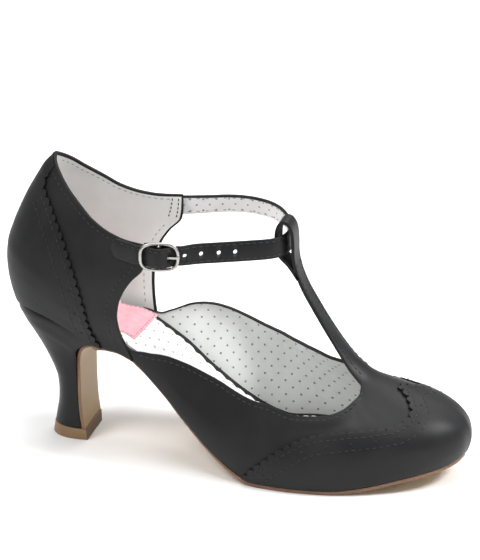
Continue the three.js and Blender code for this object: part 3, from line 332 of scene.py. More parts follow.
# One material: its shader, and a method for any other node
class Finish:
    def __init__(self, name, **constants):
        self.material = bpy.data.materials.new(name)
        self.material.use_nodes = True
        self.tree = self.material.node_tree
        self.shader = next(n for n in self.tree.nodes if n.type == "BSDF_PRINCIPLED")
        for socket, value in constants.items():
            self.shader.inputs[socket.replace("_", " ")].default_value = value

    def node(self, kind, settings=(), inputs=(), output=0):
        made = self.tree.nodes.new(kind)
        for name, value in dict(settings).items():
            setattr(made, name, value)
        for key, value in dict(inputs).items():
            socket = made.inputs[key]
            if isinstance(value, Signal):
                self.tree.links.new(value.socket, socket)
            else:
                socket.default_value = value
        return Signal(self, made.outputs[output])

    def value(self, number):
        return self.node("ShaderNodeMath", {"operation": "ADD"}, {0: number, 1: 0.0})

    def place(self):
        return self.node("ShaderNodeTexCoord", output="Object")

    def flat(self):
        return self.node("ShaderNodeAttribute", {"attribute_name": "flat"}, output="Vector")

    def noise(self, vector, scale, detail=3.0, roughness=0.5):
        return self.node("ShaderNodeTexNoise", {}, {"Vector": vector, "Scale": scale, "Detail": detail,
                                                    "Roughness": roughness})

    def cells(self, vector, scale):
        return self.node("ShaderNodeTexVoronoi", {"feature": "SMOOTH_F1"}, {"Vector": vector, "Scale": scale},
                         "Distance")

    def blendColours(self, factor, a, b):
        return self.node("ShaderNodeMix", {"data_type": "RGBA"}, {0: factor, 6: a, 7: b}, 2)

    def axes(self, vector):
        made = self.node("ShaderNodeSeparateXYZ", {}, {0: vector})
        return [Signal(self, made.socket.node.outputs[i]) for i in range(3)]

    def feed(self, socket, signal):
        self.tree.links.new(signal.socket, self.shader.inputs[socket])

    def bump(self, height, distance, strength=1.0):
        self.feed("Normal", self.node("ShaderNodeBump", {}, {"Height": height, "Distance": distance,
                                                             "Strength": strength}))

    # Staggered pinholes on the piece's own flat lengths, in millimetres: 1 in a hole
    def pinholes(self, pitch, radius):
        x, y, _ = self.axes(self.flat())
        nearest = None
        for shift in (0.0, 0.5):
            dx = ((x / pitch + (20 + shift)).fraction() - 0.5) * pitch
            dy = ((y / pitch + (20 + shift)).fraction() - 0.5) * pitch
            distance = (dx * dx + dy * dy).math("SQRT")
            nearest = distance if nearest is None else nearest.smallest(distance)
        return 1 - nearest.between(radius * 0.7, radius * 1.25)


# Smooth black coated leather: fine pebble, faint creases and slightly uneven gloss
leather = {"black": (0.0095, 0.0097, 0.0105, 1), "worn": (0.0145, 0.0145, 0.0155, 1), "specular": 0.2,
           "grain": 2600, "crease": 90, "cloud": 38}


def leatherFinish(name, roughness=0.46, grainDepth=0.00004):
    f = Finish(name, Roughness=roughness, Specular_IOR_Level=leather["specular"])
    at = f.place()
    cloud = f.noise(at, leather["cloud"], 4)
    pebble = f.cells(at, leather["grain"])
    crease = f.noise(at, leather["crease"], 6, 0.6)
    f.feed("Base Color", f.blendColours(cloud.between(0.35, 0.7), leather["black"], leather["worn"]))
    f.feed("Roughness", cloud.between(0.3, 0.75) * 0.10 + (pebble * 0.10 + (roughness - 0.07)))
    f.bump(pebble * 0.6 + crease * 1.6, grainDepth)
    return f.material


lining = {"grain": 1900, "cloud": 60, "dull": 0.93}


def liningFinish(name, colour, pitch=0.0, radius=0.5, holeColour=(0.12, 0.12, 0.12, 1)):
    f = Finish(name, Roughness=0.62, Specular_IOR_Level=0.3)
    at = f.place()
    cloud = f.noise(at, lining["cloud"])
    pebble = f.cells(at, lining["grain"])
    dull = tuple(c * lining["dull"] for c in colour[:3]) + (1,)
    shade = f.blendColours(cloud.between(0.3, 0.7), colour, dull)
    height = pebble * 0.5
    if pitch:
        hole = f.pinholes(pitch, radius)
        shade = f.blendColours(hole, shade, holeColour)
        height = height - hole * 3.0
    f.feed("Base Color", shade)
    f.feed("Roughness", cloud.between(0.3, 0.7) * 0.08 + 0.56)
    f.bump(height, 0.00008)
    return f.material


def plainFinish(name, colour, second, roughness, scale=120, depth=0.00004, **constants):
    f = Finish(name, Roughness=roughness, **constants)
    at = f.place()
    cloud = f.noise(at, scale, 4)
    f.feed("Base Color", f.blendColours(cloud.between(0.3, 0.7), colour, second))
    f.feed("Roughness", cloud.between(0.25, 0.8) * 0.12 + (roughness - 0.06))
    f.bump(f.noise(at, scale * 12, 2), depth)
    return f.material


black = leatherFinish("blackLeather")
blackHeel = leatherFinish("blackHeelCover", 0.40, 0.00003)
edgeBlack = plainFinish("blackEdge", (0.006, 0.006, 0.0065, 1), (0.010, 0.010, 0.010, 1), 0.6,
                        Specular_IOR_Level=0.2)
liningDots = liningFinish("perforatedLining", (0.69, 0.70, 0.68, 1), 7.2, 0.5, (0.22, 0.22, 0.22, 1))
liningPlain = liningFinish("plainLining", (0.66, 0.66, 0.64, 1))
sockDots = liningFinish("perforatedSock", (0.86, 0.86, 0.86, 1), 7.2, 0.5, (0.34, 0.34, 0.34, 1))
strapLining = liningFinish("strapLining", (0.74, 0.74, 0.74, 1), 6.2, 0.5, (0.25, 0.25, 0.25, 1))
boardBlack = plainFinish("blackBoard", (0.010, 0.010, 0.010, 1), (0.018, 0.018, 0.018, 1), 0.7, 200, 0.00006,
                         Specular_IOR_Level=0.2)
# Black thread, darker than the leather: its own black plus painted shade of the stitch grooves
shadedBlackThread = plainFinish("blackThreadWithGrooveShade", (0.004, 0.004, 0.0045, 1), (0.007, 0.007, 0.007, 1), 0.42, 900)
threadGrey = plainFinish("greyThread", (0.16, 0.16, 0.16, 1), (0.24, 0.24, 0.24, 1), 0.6, 900)
threadRed = plainFinish("redThread", (0.30, 0.02, 0.03, 1), (0.38, 0.04, 0.05, 1), 0.6, 900)
# Painted shade: near-black colour, darker than the leather, for the shade inside punched holes
holeShade = plainFinish("punchedHoleShade", (0.003, 0.003, 0.003, 1), (0.005, 0.005, 0.005, 1), 0.8)
soleTan = plainFinish("tanSole", (0.33, 0.215, 0.095, 1), (0.38, 0.255, 0.12, 1), 0.5, 70)
soleEdge = plainFinish("soleEdge", (0.17, 0.085, 0.048, 1), (0.23, 0.12, 0.07, 1), 0.5, 110)
liftTan = plainFinish("tanLift", (0.215, 0.125, 0.062, 1), (0.27, 0.165, 0.085, 1), 0.55, 90)
# Painted shade: a darker copy of the lift's tan for its front face
liftShade = plainFinish("shadedLiftFront", (0.115, 0.066, 0.038, 1), (0.15, 0.09, 0.052, 1), 0.6, 90)
pewter = plainFinish("pewter", (0.36, 0.345, 0.33, 1), (0.46, 0.45, 0.43, 1), 0.3, 300, 0.00002, Metallic=1.0)
labelPink = plainFinish("pinkLabel", (0.66, 0.33, 0.38, 1), (0.72, 0.40, 0.45, 1), 0.6, 300, 0.00005)
print("materials made")


def addObject(name, bm, scale=mm):
    bmesh.ops.scale(bm, vec=(scale, scale, scale), verts=bm.verts)
    mesh = bpy.data.meshes.new(name)
    bm.to_mesh(mesh)
    bm.free()
    made = bpy.data.objects.new(name, mesh)
    bpy.context.scene.collection.objects.link(made)
    return made


# Turns a bmesh in millimetres into a piece of the shoe that rides on its body
def addPiece(name, bm, materials, replaced=()):
    piece = addObject(name, bm)
    mesh = piece.data
    mesh.polygons.foreach_set("use_smooth", [True] * len(mesh.polygons))
    for material in materials:
        mesh.materials.append(material)
    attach(piece, "root")
    if replaced:
        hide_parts(*replaced)
    print("piece", name, len(mesh.polygons))
    return piece


# An empty mesh whose vertices carry their lengths over the surface, in millimetres, for patterns
def startMesh():
    bm = bmesh.new()
    bm.verts.layers.float_vector.new("flat")
    return bm


# A grid of quads laid on a surface; place gets shares from 0 to 1 across and along
def layGrid(bm, across, along, place, material=0, flip=False):
    made = bmesh.ops.create_grid(bm, x_segments=across, y_segments=along, size=0.5)
    grid = {}
    for v in made["verts"]:
        i, j = round((v.co.x + 0.5) * across), round((v.co.y + 0.5) * along)
        grid[i, j] = v
    for (i, j), v in grid.items():
        v.co = place(i / across, j / along)
    paint(made, material)
    if flip:
        bmesh.ops.reverse_faces(bm, faces=list({f for v in made["verts"] for f in v.link_faces}))
    return grid


def writeFlat(bm, grid, across, along, middle=0.5):
    flat = bm.verts.layers.float_vector["flat"]
    row = round(along * middle)
    run = [0.0]
    for i in range(across):
        run.append(run[-1] + (grid[i + 1, row].co - grid[i, row].co).length)
    for i in range(across + 1):
        rise = grid[i, 0].co.z
        for j in range(along + 1):
            if j:
                rise += (grid[i, j].co - grid[i, j - 1].co).length
            grid[i, j][flat] = (run[i], rise, 0)


def paint(made, material):
    for face in {f for v in made["verts"] for f in v.link_faces}:
        face.material_index = material


def soften(piece, width, segments=2):
    soft = piece.modifiers.new("softEdges", "BEVEL")
    soft.width = width * mm
    soft.segments = segments
    soft.profile = 0.5
    soft.material = -1
    soft.limit_method = "ANGLE"
    soft.angle_limit = math.radians(50)
    return piece


def wall(piece, thickness, inner=0, rim=0, bevel=0.3):
    solid = piece.modifiers.new("wall", "SOLIDIFY")
    solid.thickness = thickness * mm
    solid.offset = -1
    solid.material_offset = inner
    solid.material_offset_rim = rim
    return soften(piece, bevel) if bevel else piece


def closeBody(bm):
    bmesh.ops.remove_doubles(bm, verts=bm.verts, dist=0.01)
    bmesh.ops.holes_fill(bm, edges=[e for e in bm.edges if e.is_boundary], sides=0)
    bmesh.ops.recalc_face_normals(bm, faces=bm.faces)


# Thread: one small rounded stitch for each step of a line of (point, normal)
def sewLine(bm, line, pitch=3.2, length=2.1, radius=0.28, material=0):
    total = lengthsAlong([p for p, _ in line])[-1]
    count = max(int(total / pitch), 1)
    run, k = 0.0, 0
    for w in [(i + 0.5) * total / count for i in range(count)]:
        while k < len(line) - 2 and run + (line[k + 1][0] - line[k][0]).length < w:
            run += (line[k + 1][0] - line[k][0]).length
            k += 1
        p, n = line[k]
        q, m = line[k + 1]
        f = (w - run) / max((q - p).length, 1e-9)
        along = (q - p).normalized()
        up = n.lerp(m, f).normalized()
        side = up.cross(along).normalized()
        up = along.cross(side)
        turn = Matrix((along, side, up)).transposed().to_4x4()
        turn.translation = p.lerp(q, f)
        size = Matrix.Diagonal((length / 2, radius, radius * 0.8, 1))
        made = bmesh.ops.create_uvsphere(bm, u_segments=6, v_segments=5, radius=1,
                                         matrix=turn @ size @ Matrix.Rotation(math.pi / 2, 4, "Y"))
        paint(made, material)


def raisedPlace(surface, a, b, raised):
    p = surface(a, b, raised)
    return p, (surface(a, b, raised + 1) - p).normalized()


# A line over a surface through a few (a, b) places
def lineOn(surface, places, raised=0.1, spacing=1.0):
    points = smoothLine([Vector((a * 100, b * 100, 0)) for a, b in places], 1.0)
    line = [raisedPlace(surface, p.x / 100, p.y / 100, raised) for p in points]
    kept = [line[0]]
    for p, n in line[1:]:
        if (p - kept[-1][0]).length >= spacing * 0.5:
            kept.append((p, n))
    return kept


# Punched holes: short plugs painted with the shade inside each hole, their tops flush with the leather
def punch(bm, spots, radius=0.62, depth=0.5, material=1):
    for p, n in spots:
        turn = n.to_track_quat("Z", "Y").to_matrix().to_4x4()
        turn.translation = p - n * (depth / 2 - 0.04)
        made = bmesh.ops.create_cone(bm, cap_ends=True, segments=12, radius1=radius, radius2=radius,
                                     depth=depth, matrix=turn)
        paint(made, material)


# Quarter: wraps the heel, open at the front on both sides
quarter = {"across": 176, "up": 64, "wall": 1.5, "collarStitch": 0.962, "frontStitch": 0.955,
           "earStitches": (0.935, 0.972)}


def makeQuarter():
    bm = startMesh()
    across, up = quarter["across"], quarter["up"]
    grid = layGrid(bm, across, up, lambda u, v: quarterPoint(mix(-1, 1, u), v), flip=True)
    writeFlat(bm, grid, across, up)
    for (i, j), v in grid.items():
        if i in (0, across) or j == up:
            for f in v.link_faces:
                f.material_index = 3
    materials = [black, liningPlain, edgeBlack, black, edgeBlack, edgeBlack]
    piece = addPiece("quarter", bm, materials, ["upper"])
    return wall(piece, quarter["wall"], 1, 2, 0.4)


# Vamp: from the waist round the toe, with the T-strap and its loop in one piece
vampMesh = {"side": 132, "root": 8, "up": 44, "strap": 60, "wall": 1.5}
# Lengths of the vamp in millimetres along w and along t
creaseScale = {"along": 215, "up": 46}
# Soft troughs (below 0) and ridges: place w, t on the vamp, reach along w and along t in millimetres, height
creases = [(-0.115, 0.86, 5, 9, -0.34), (-0.075, 0.80, 4, 8, 0.26), (0.115, 0.86, 5, 9, -0.34),
           (0.075, 0.80, 4, 8, 0.26), (-0.2, 0.8, 13, 4, -0.26), (-0.27, 0.9, 16, 3.5, 0.22),
           (0.2, 0.8, 13, 4, -0.26), (-0.45, 0.62, 12, 7, -0.3), (-0.52, 0.45, 14, 6, 0.26)]


def creased(w, t):
    p = vampPoint(w, t)
    depth = 0.0
    for cw, ct, along, up, height in creases:
        dw, dt = (w - cw) * creaseScale["along"] / along, (t - ct) * creaseScale["up"] / up
        depth += height * math.exp(-dw * dw - dt * dt)
    fade = 1 - ease(0.93, 1, t)
    return p + normalOn(vampPoint, w, t) * (depth * fade) if abs(depth) > 0.01 and fade > 0 else p


def vampColumns():
    root = 1 - last["strapRoot"]
    start = last["waistStart"] - 1
    half = [start + (-root - start) * (i / vampMesh["side"]) ** 0.97 for i in range(vampMesh["side"] + 1)]
    middle = steps(-root, root, vampMesh["root"])[1:-1]
    return half + middle + [-w for w in reversed(half)]


def makeVamp():
    bm = startMesh()
    ws = vampColumns()
    across, up = len(ws) - 1, vampMesh["up"]
    grid = layGrid(bm, across, up, lambda u, v: creased(ws[round(u * across)], v))
    writeFlat(bm, grid, across, up)
    for i in range(across + 1):
        if abs(ws[i]) < 0.6:
            for f in grid[i, up].link_faces:
                f.material_index = 3
    _, endX, endZ, half, _, _ = vamp["strap"].rows[-1]
    loop = smoothLine([Vector((x, z, 0)) for x, z in [(endX, endZ)] + vamp["loop"]], 0.6)
    strapRows = vampMesh["strap"]
    rows = strapRows + len(loop) - 1

    def alongStrap(u, v):
        k = round(v * rows)
        c = mix(-1, 1, u)
        if k <= strapRows:
            return tStrapPoint(c, k / strapRows)
        p = loop[k - strapRows]
        return Vector((p.x, c * half, p.y))
    layGrid(bm, vampMesh["root"], rows, alongStrap, 3)
    bmesh.ops.remove_doubles(bm, verts=bm.verts, dist=0.01)
    piece = addPiece("vamp", bm, [black, liningDots, edgeBlack, black, edgeBlack, edgeBlack])
    return wall(piece, vampMesh["wall"], 1, 2)


# Scalloped overlays: toe cap and heel counter
overlay = {"pitch": 4.5, "depth": 1.6, "raised": 1.15, "thickness": 0.95, "foot": 0.014,
           "stitchIn": 2.6, "holeIn": 5.2, "innerIn": 8.2, "holePitch": 11.5}
outerCap = [(-0.395, 0), (-0.378, 0.16), (-0.352, 0.31), (-0.322, 0.47), (-0.295, 0.59), (-0.268, 0.665),
            (-0.224, 0.70), (-0.172, 0.675), (-0.127, 0.61), (-0.086, 0.55), (-0.057, 0.53), (-0.036, 0.535),
            (-0.023, 0.565), (-0.012, 0.65)]
toeCap = {"edge": Sections("w t", outerCap + [(0, 0.75)] + [(-w, t) for w, t in reversed(outerCap)]),
          "columns": 440, "rows": 34}
counter = {
    "edge": Sections("t s", [
        (0, 0.885), (0.12, 0.868), (0.25, 0.862), (0.36, 0.853), (0.44, 0.828), (0.515, 0.79), (0.574, 0.75),
        (0.632, 0.70), (0.672, 0.66), (0.716, 0.61), (0.752, 0.56), (0.785, 0.50), (0.815, 0.44),
        (0.845, 0.36), (0.856, 0.30), (0.866, 0.25), (0.91, 0.20), (0.955, 0.185), (0.988, 0.18)]),
    "columns": 60, "rows": 240,
}


# Walks an edge given as (a, b) places and returns it again at equal real lengths, with the lengths
def evenEdge(surface, places, count):
    lengths = lengthsAlong([surface(a, b, overlay["raised"]) for a, b in places])
    return [(mix(places[k][0], places[k + 1][0], f), mix(places[k][1], places[k + 1][1], f), length)
            for k, f, length in walk(lengths, count)]


# Direction in the surface that points out over an edge line; towards is a small step (a, b) into the overlay
def edgeSide(surface, edge, i, towards):
    a, b = edge[max(i - 3, 0)], edge[min(i + 3, len(edge) - 1)]
    here = edge[i]
    p = surface(here[0], here[1], 0)
    n = surface(here[0], here[1], 1) - p
    side = (surface(b[0], b[1], 0) - surface(a[0], a[1], 0)).cross(n).normalized()
    inside = surface(here[0] + towards[0], here[1] + towards[1], 0) - p
    return -side if side.dot(inside) > 0 else side


def scallop(length):
    return overlay["depth"] * (abs(math.sin(math.pi * length / overlay["pitch"])) ** 0.7 - 0.55)


# The same distance in from the edge, kept on the surface by walking its two parameters
def inwardLine(surface, edge, towards, inward, raised):
    line, e = [], 1e-3
    rim = [surface(a, b, 0) for a, b, _ in edge[::4]]
    for i in range(0, len(edge), 2):
        a, b, _ = edge[i]
        target = surface(a, b, 0) - edgeSide(surface, edge, i, towards) * inward
        for _ in range(6):
            here = surface(a, b, 0)
            da, db = (surface(a + e, b, 0) - here) / e, (surface(a, b + e, 0) - here) / e
            gap = target - here
            aa, ab, bb = da.dot(da), da.dot(db), db.dot(db)
            ga, gb = da.dot(gap), db.dot(gap)
            spread = aa * bb - ab * ab
            if abs(spread) < 1e-9:
                break
            a += (ga * bb - gb * ab) / spread
            b = min(max(b + (gb * aa - ga * ab) / spread, 0.01), 0.99)
        here = surface(a, b, 0)
        if min((here - r).length for r in rim) < inward * 0.93:
            continue
        place = raisedPlace(surface, a, b, raised)
        if not line or (place[0] - line[-1][0]).length > 0.4:
            line.append(place)
    return line


def punchAlong(bm, line, pitch):
    run, spots = pitch / 2, []
    for (p, _), (q, m) in zip(line, line[1:]):
        run += (q - p).length
        if run >= pitch:
            spots.append((q, m))
            run -= pitch
    punch(bm, spots)


def makeToeCap():
    span = toeCap["edge"].rows[-1][0]
    places = [(w, max(toeCap["edge"].at(w, "t"), overlay["foot"])) for w in steps(-span, span, 900)]
    edge = evenEdge(onVamp, places, toeCap["columns"])
    across, up = toeCap["columns"], toeCap["rows"]
    bm = startMesh()

    def place(u, v):
        i = round(u * across)
        w, t, length = edge[i]
        p = onVamp(w, mix(overlay["foot"], t, v), overlay["raised"])
        if v == 1 and t > overlay["foot"] * 2:
            p += edgeSide(onVamp, edge, i, (0, -0.01)) * scallop(length)
        return p
    layGrid(bm, across, up, place)
    cap = addPiece("toeCap", bm, [black, black, edgeBlack], ["toe_cap"])
    wall(cap, overlay["thickness"], 1, 2, 0.2)
    trim = bmesh.new()
    raised = overlay["raised"] + 0.06
    rim = [e for e in edge if e[1] > 0.1]
    for inward in (overlay["stitchIn"], overlay["innerIn"]):
        sewLine(trim, inwardLine(onVamp, rim, (0, -0.01), inward, raised))
    punchAlong(trim, inwardLine(onVamp, rim, (0, -0.01), overlay["holeIn"], raised), overlay["holePitch"])
    addPiece("toeCapTrim", trim, [shadedBlackThread, holeShade])


def makeCounter():
    rows, across = counter["rows"], counter["columns"]
    top = counter["edge"].rows[-1][0]
    places = [(counter["edge"].at(t, "s"), t) for t in steps(overlay["foot"], top, 700)]
    edge = evenEdge(onQuarter, places, rows)
    bm = startMesh()

    def place(u, v):
        j = round(v * rows)
        s, t, length = edge[j]
        k = mix(-1, 1, u)
        p = onQuarter(s * k, t, mix(overlay["raised"], 0.3, ease(0.9, 0.985, t)))
        if abs(k) == 1 and overlay["foot"] * 3 < t < 0.93:
            rim = [(a * k, b, c) for a, b, c in edge[max(j - 4, 0):j + 5]]
            p += edgeSide(onQuarter, rim, min(j, 4), (-0.01 * k, 0)) * scallop(length)
        return p
    layGrid(bm, across, rows, place, flip=True)
    piece = addPiece("heelCounter", bm, [black, black, edgeBlack], ["heel_counter"])
    wall(piece, overlay["thickness"], 1, 2, 0.22)
    trim = bmesh.new()
    raised = overlay["raised"] + 0.06
    for side in (lateral, medial):
        rim = [(a * side, b, c) for a, b, c in edge if 0.03 < b < 0.86]
        towards = (-0.01 * side, 0)
        for inward in (overlay["stitchIn"], overlay["innerIn"]):
            sewLine(trim, inwardLine(onQuarter, rim, towards, inward, raised))
        middle = inwardLine(onQuarter, rim, towards, overlay["holeIn"], raised)
        punchAlong(trim, middle, overlay["holePitch"])
    addPiece("counterTrim", trim, [shadedBlackThread, holeShade])


# Rows of thread along the free edges of quarter, vamp and T-strap
edgeSeams = {"in": 2.1, "pitch": 3.0, "raised": 0.04}


def turned(line):
    return [(p, -n) for p, n in line]


def makeEdgeSeams():
    bm = bmesh.new()
    raised, collar, front = edgeSeams["raised"], quarter["collarStitch"], quarter["frontStitch"]
    inside = -quarter["wall"] - 0.05
    for side in (lateral, medial):
        for places in ([(side * s, collar) for s in steps(0.2, 0.97, 18)],
                       [(side * front, t) for t in steps(0.06, 0.88, 18)]):
            sewLine(bm, lineOn(onQuarter, places, raised), edgeSeams["pitch"])
        line = []
        for q in steps(0.36, 0.955, 110):
            a = vampPoint(side * (1 - q), 1)
            b = vampPoint(side * (1 - q), 0.97)
            reach = max((a - b).length, 0.3)
            t = 1 - 0.03 * min(edgeSeams["in"] / reach, 12)
            line.append(raisedPlace(onVamp, side * (1 - q), t, raised))
        sewLine(bm, line, edgeSeams["pitch"])
        strapLine = []
        for v in steps(0.02, 1, 60):
            c = side * 0.66
            p, q = tStrapPoint(c, v), tStrapPoint(c, min(v + 0.01, 1)) - tStrapPoint(c, max(v - 0.01, 0))
            n = q.cross(tStrapPoint(c + 0.1, v) - p).normalized()
            n = n if n.x > 0 else -n
            strapLine.append((p + n * raised, n))
        sewLine(bm, strapLine, edgeSeams["pitch"])
        for places in ([(side * s, collar) for s in steps(0.15, 0.93, 18)],
                       [(side * front, t) for t in steps(0.08, 0.74, 14)]):
            sewLine(bm, turned(lineOn(onQuarter, places, inside)), edgeSeams["pitch"], 1.7, 0.2, 1)
    for s in quarter["earStitches"]:
        sewLine(bm, turned(lineOn(onQuarter, [(s, t) for t in steps(0.8, 0.975, 8)], inside)), 1.9, 1.4, 0.3)
    addPiece("edgeSeams", bm, [shadedBlackThread, threadGrey])


# Layers under the foot, laid between the two sides of the outline
bed = {"boardInset": 1.7, "boardLow": 0.3, "board": 3.0, "sockInset": 3.0, "sockLow": 3.35, "sock": 1.15,
       "scallop": 1.3, "pitch": 4.5, "innerMargin": 3.4}


def bedEdge(count, inset, wave=0.0):
    edges = []
    for side in (lateral, medial):
        qs = steps(0, 1, 1200)
        row = []
        for k, _, length in walk(lengthsAlong([outline(side, q) for q in qs]), count):
            q = qs[k]
            waist = ease(0.24, 0.3, q) * (1 - ease(0.36, 0.44, q))
            shift = inset + waist + wave * (1 - abs(math.sin(math.pi * length / bed["pitch"])) ** 0.8)
            if wave and side > 0:
                shift += bed["innerMargin"] * ease(0.28, 0.37, q)
            row.append(outline(side, q) - outlineNormal(side, q) * shift)
        edges.append(row)
    return edges


def makeBedLayer(name, count, across, inset, low, thick, wave, materials, replaced):
    left, right = bedEdge(count, inset, wave)
    bm = startMesh()

    def place(u, v):
        i = round(u * count)
        p = left[i].lerp(right[i], v)
        p.z = seatZ(p.x) + v * bankZ(p.x) + low + thick
        return p
    layGrid(bm, count, across, place)
    flat = bm.verts.layers.float_vector["flat"]
    for v in bm.verts:
        v[flat] = (v.co.x * 1.04, v.co.y, 0)
    bmesh.ops.remove_doubles(bm, verts=bm.verts, dist=0.01)
    return wall(addPiece(name, bm, materials, replaced), thick, 0, 0, 0.25)


# Outsole: flap down the heel breast, over the arch and forward under the foot
outsole = {"flap": [(7.9, 6.1, 12.3), (7.0, 13, 12.7), (6.5, 22, 12.9), (6.4, 32, 12.9), (6.5, 41, 13.4),
                    (7.4, 46.2, 14.6), (9.6, 50.0, 16.6), (13.6, 52.7, 19.2)], "shankStart": 17.5,
           "archX": 22.0, "archMargin": -1.6, "toeMargin": 0.5, "archGap": 0.5,
           "thickenFrom": 73.3, "thickenTo": 99.9,
           "stations": 150, "across": 26}


def makeOutsole():
    flap = smoothLine([Vector(r) for r in outsole["flap"]], 1.2)
    rows = []
    for i, p in enumerate(flap):
        a, b = flap[max(i - 1, 0)], flap[min(i + 1, len(flap) - 1)]
        d = Vector((b.x - a.x, 0, b.y - a.y)).normalized()
        thick = last["shankThickness"] + 0.1
        low = [Vector((p.x, k * p.z, p.y)) for k in (-1, 1)]
        rows.append((low, [q + Vector((-d.z, 0, d.x)) * thick for q in low]))
    corner = flap[-1]
    shankX = outsole["archX"]
    shankZ = seatZ(shankX) - last["shankThickness"]
    for q in steps(stationAt(outsole["shankStart"]), 1, outsole["stations"]):
        margin = mix(outsole["archMargin"], outsole["toeMargin"], ease(0.3, 0.66, q))
        low, high = [], []
        for side, k in ((lateral, 0), (medial, 1)):
            p = outline(side, q) + outlineNormal(side, q) * margin
            bedHeight = seatZ(p.x) + k * bankZ(p.x)
            thick = mix(last["shankThickness"], last["soleThickness"],
                        ease(outsole["thickenFrom"], outsole["thickenTo"], p.x))
            arch = mix(corner.y, shankZ, (p.x - corner.x) / (shankX - corner.x))
            gap = mix(outsole["archGap"], last["gap"], ease(0.45, 0.55, q))
            low.append(Vector((p.x, p.y, arch if p.x < shankX else bedHeight - thick)))
            high.append(Vector((p.x, p.y, bedHeight - gap)))
        rows.append((low, high))
    count, across = len(rows) - 1, outsole["across"]
    bm = startMesh()
    row, column = bm.verts.layers.int.new("row"), bm.verts.layers.int.new("column")

    def place(u, v):
        _, high = rows[round(u * count)]
        return high[0].lerp(high[1], v)
    grid = layGrid(bm, count, across, place)
    for (i, j), v in grid.items():
        v[row], v[column] = i, j
    top = set(grid.values())
    made = bmesh.ops.extrude_face_region(bm, geom=list(bm.faces))
    for v in made["geom"]:
        if isinstance(v, bmesh.types.BMVert):
            low, _ = rows[v[row]]
            v.co = low[0].lerp(low[1], v[column] / across)
    rim = [f for f in bm.faces if len({v in top for v in f.verts}) == 2]
    for f in rim:
        f.material_index = 1
    bmesh.ops.remove_doubles(bm, verts=bm.verts, dist=0.01)
    bmesh.ops.recalc_face_normals(bm, faces=bm.faces)
    return soften(addPiece("outsole", bm, [soleTan, soleEdge], ["outsole"]), 0.3)


# Heel: curved D sections from the lift to the seat, its top following the outline
heel = {
    "sections": Sections("v back front frontHalf backSpan side sideHalf", [
        (0, -9.8, 6, 12.3, 8.5, -3.5, 13.2), (0.095, -8.8, 5.5, 12.6, 8.5, -3, 13.6),
        (0.19, -7.9, 5.1, 12.9, 8.5, -2.5, 13.9), (0.27, -7.7, 4.9, 13, 8.6, -2.5, 14.1),
        (0.38, -8.2, 4.8, 13.1, 9, -3, 14.6), (0.475, -10, 4.8, 13.3, 9.8, -4.5, 15.6),
        (0.555, -12, 4.8, 13.7, 11, -6, 17), (0.68, -15.8, 4.9, 15, 13.5, -7.5, 20.2),
        (0.797, -20, 5.1, 17.2, 16.5, -8.5, 24), (0.867, -23, 6.3, 19.4, 18.2, -8.5, 26.2),
        (0.917, -24.9, 8.7, 21, 19.2, -8.2, 26.6), (0.955, -26.2, 11.6, 22.4, 19.7, -8, 27.2),
        (1, -26.3, 16.6, 23.4, 20, -8, 28)]),
    "lift": Sections("v back front frontHalf backSpan side sideHalf", [
        (0, -11, 8.9, 11.6, 9.2, -3.5, 13.5), (1, -10.1, 8.4, 12.4, 8.7, -3.5, 13.4)]),
    "around": 44, "front": 16, "levels": 64, "liftLevels": 6,
}


def dSection(rows, level, side, u):
    _, back, front, half, span, sideX, sideY = rows.row(level)
    return bezier(Vector((back, 0, 0)), Vector((back, side * span, 0)), Vector((sideX, side * sideY, 0)),
                  Vector((front, side * half, 0)), u)


def heelPoint(level, side, u):
    top = outline(side, u * heel["reach"])
    p = dSection(heel["sections"], level, side, u).lerp(top, ease(0.96, 1, level))
    p.z = mix(last["liftHeight"] + last["gap"], seatZ(top.x) - last["gap"], level)
    return p


def liftPoint(level, side, u):
    p = dSection(heel["lift"], level, side, u)
    p.z = level * last["liftHeight"]
    return p


# One closed body of D sections: outer side, back, inner side, then straight across the front
def stack(bm, section, levels):
    around, front = heel["around"], heel["front"]
    count = 2 * around + front

    def place(u, v):
        k = round(u * count)
        if k <= around:
            return section(v, lateral, 1 - k / around)
        if k <= 2 * around:
            return section(v, medial, k / around - 1)
        return section(v, medial, 1).lerp(section(v, lateral, 1), (k - 2 * around) / front)
    layGrid(bm, count, levels, place)
    closeBody(bm)


def makeHeel():
    heel["reach"] = stationAt(heel["sections"].rows[-1][2])
    bm = bmesh.new()
    stack(bm, heelPoint, heel["levels"])
    soften(addPiece("heel", bm, [blackHeel], ["heel"]), 0.5, 3)
    bm = bmesh.new()
    stack(bm, liftPoint, heel["liftLevels"])
    # Faces turned to the front get the darker copy of the lift colour: painted shade
    for f in bm.faces:
        if f.normal.x > 0.7:
            f.material_index = 1
    soften(addPiece("heelLift", bm, [liftTan, liftShade], ["heel_lift"]), 0.35, 3)


# Ankle strap: from the inner ear through the loop and the buckle to the outer ear
strap = {
    "width": 9.5, "thickness": 1.5, "round": 0.35, "liningTop": 1.0, "spacing": 0.55, "tip": 4.05,
    "taper": 0.86, "seamEnd": 8, "liningSeamEnd": 60, "hole": 2.0, "holePitch": 8.0, "holes": 5,
    "stitchIn": 1.3,
    "free": [(56.4, 38.6, 107.3, 0.2), (63.2, 40.9, 107.5, 0.24), (70.2, 42, 107.6, 0.26),
             (77.7, 41.2, 107.7, 0.26), (85.9, 37.8, 107.8, 0.24), (92.9, 31.4, 108, 0.2),
             (98.8, 22, 108.1, 0.14), (102.8, 12, 108.2, 0.1), (104, 5, 108.3, 0.08), (103.9, 0, 108.3, 0.08),
             (102.6, -5.2, 108.3, 0.1), (99, -10, 108.4, 0.14), (89.9, -15.4, 108.6, 0.2),
             (77.4, -21.9, 108.9, 0.2), (68, -26.7, 109.1, 0.16)],
}
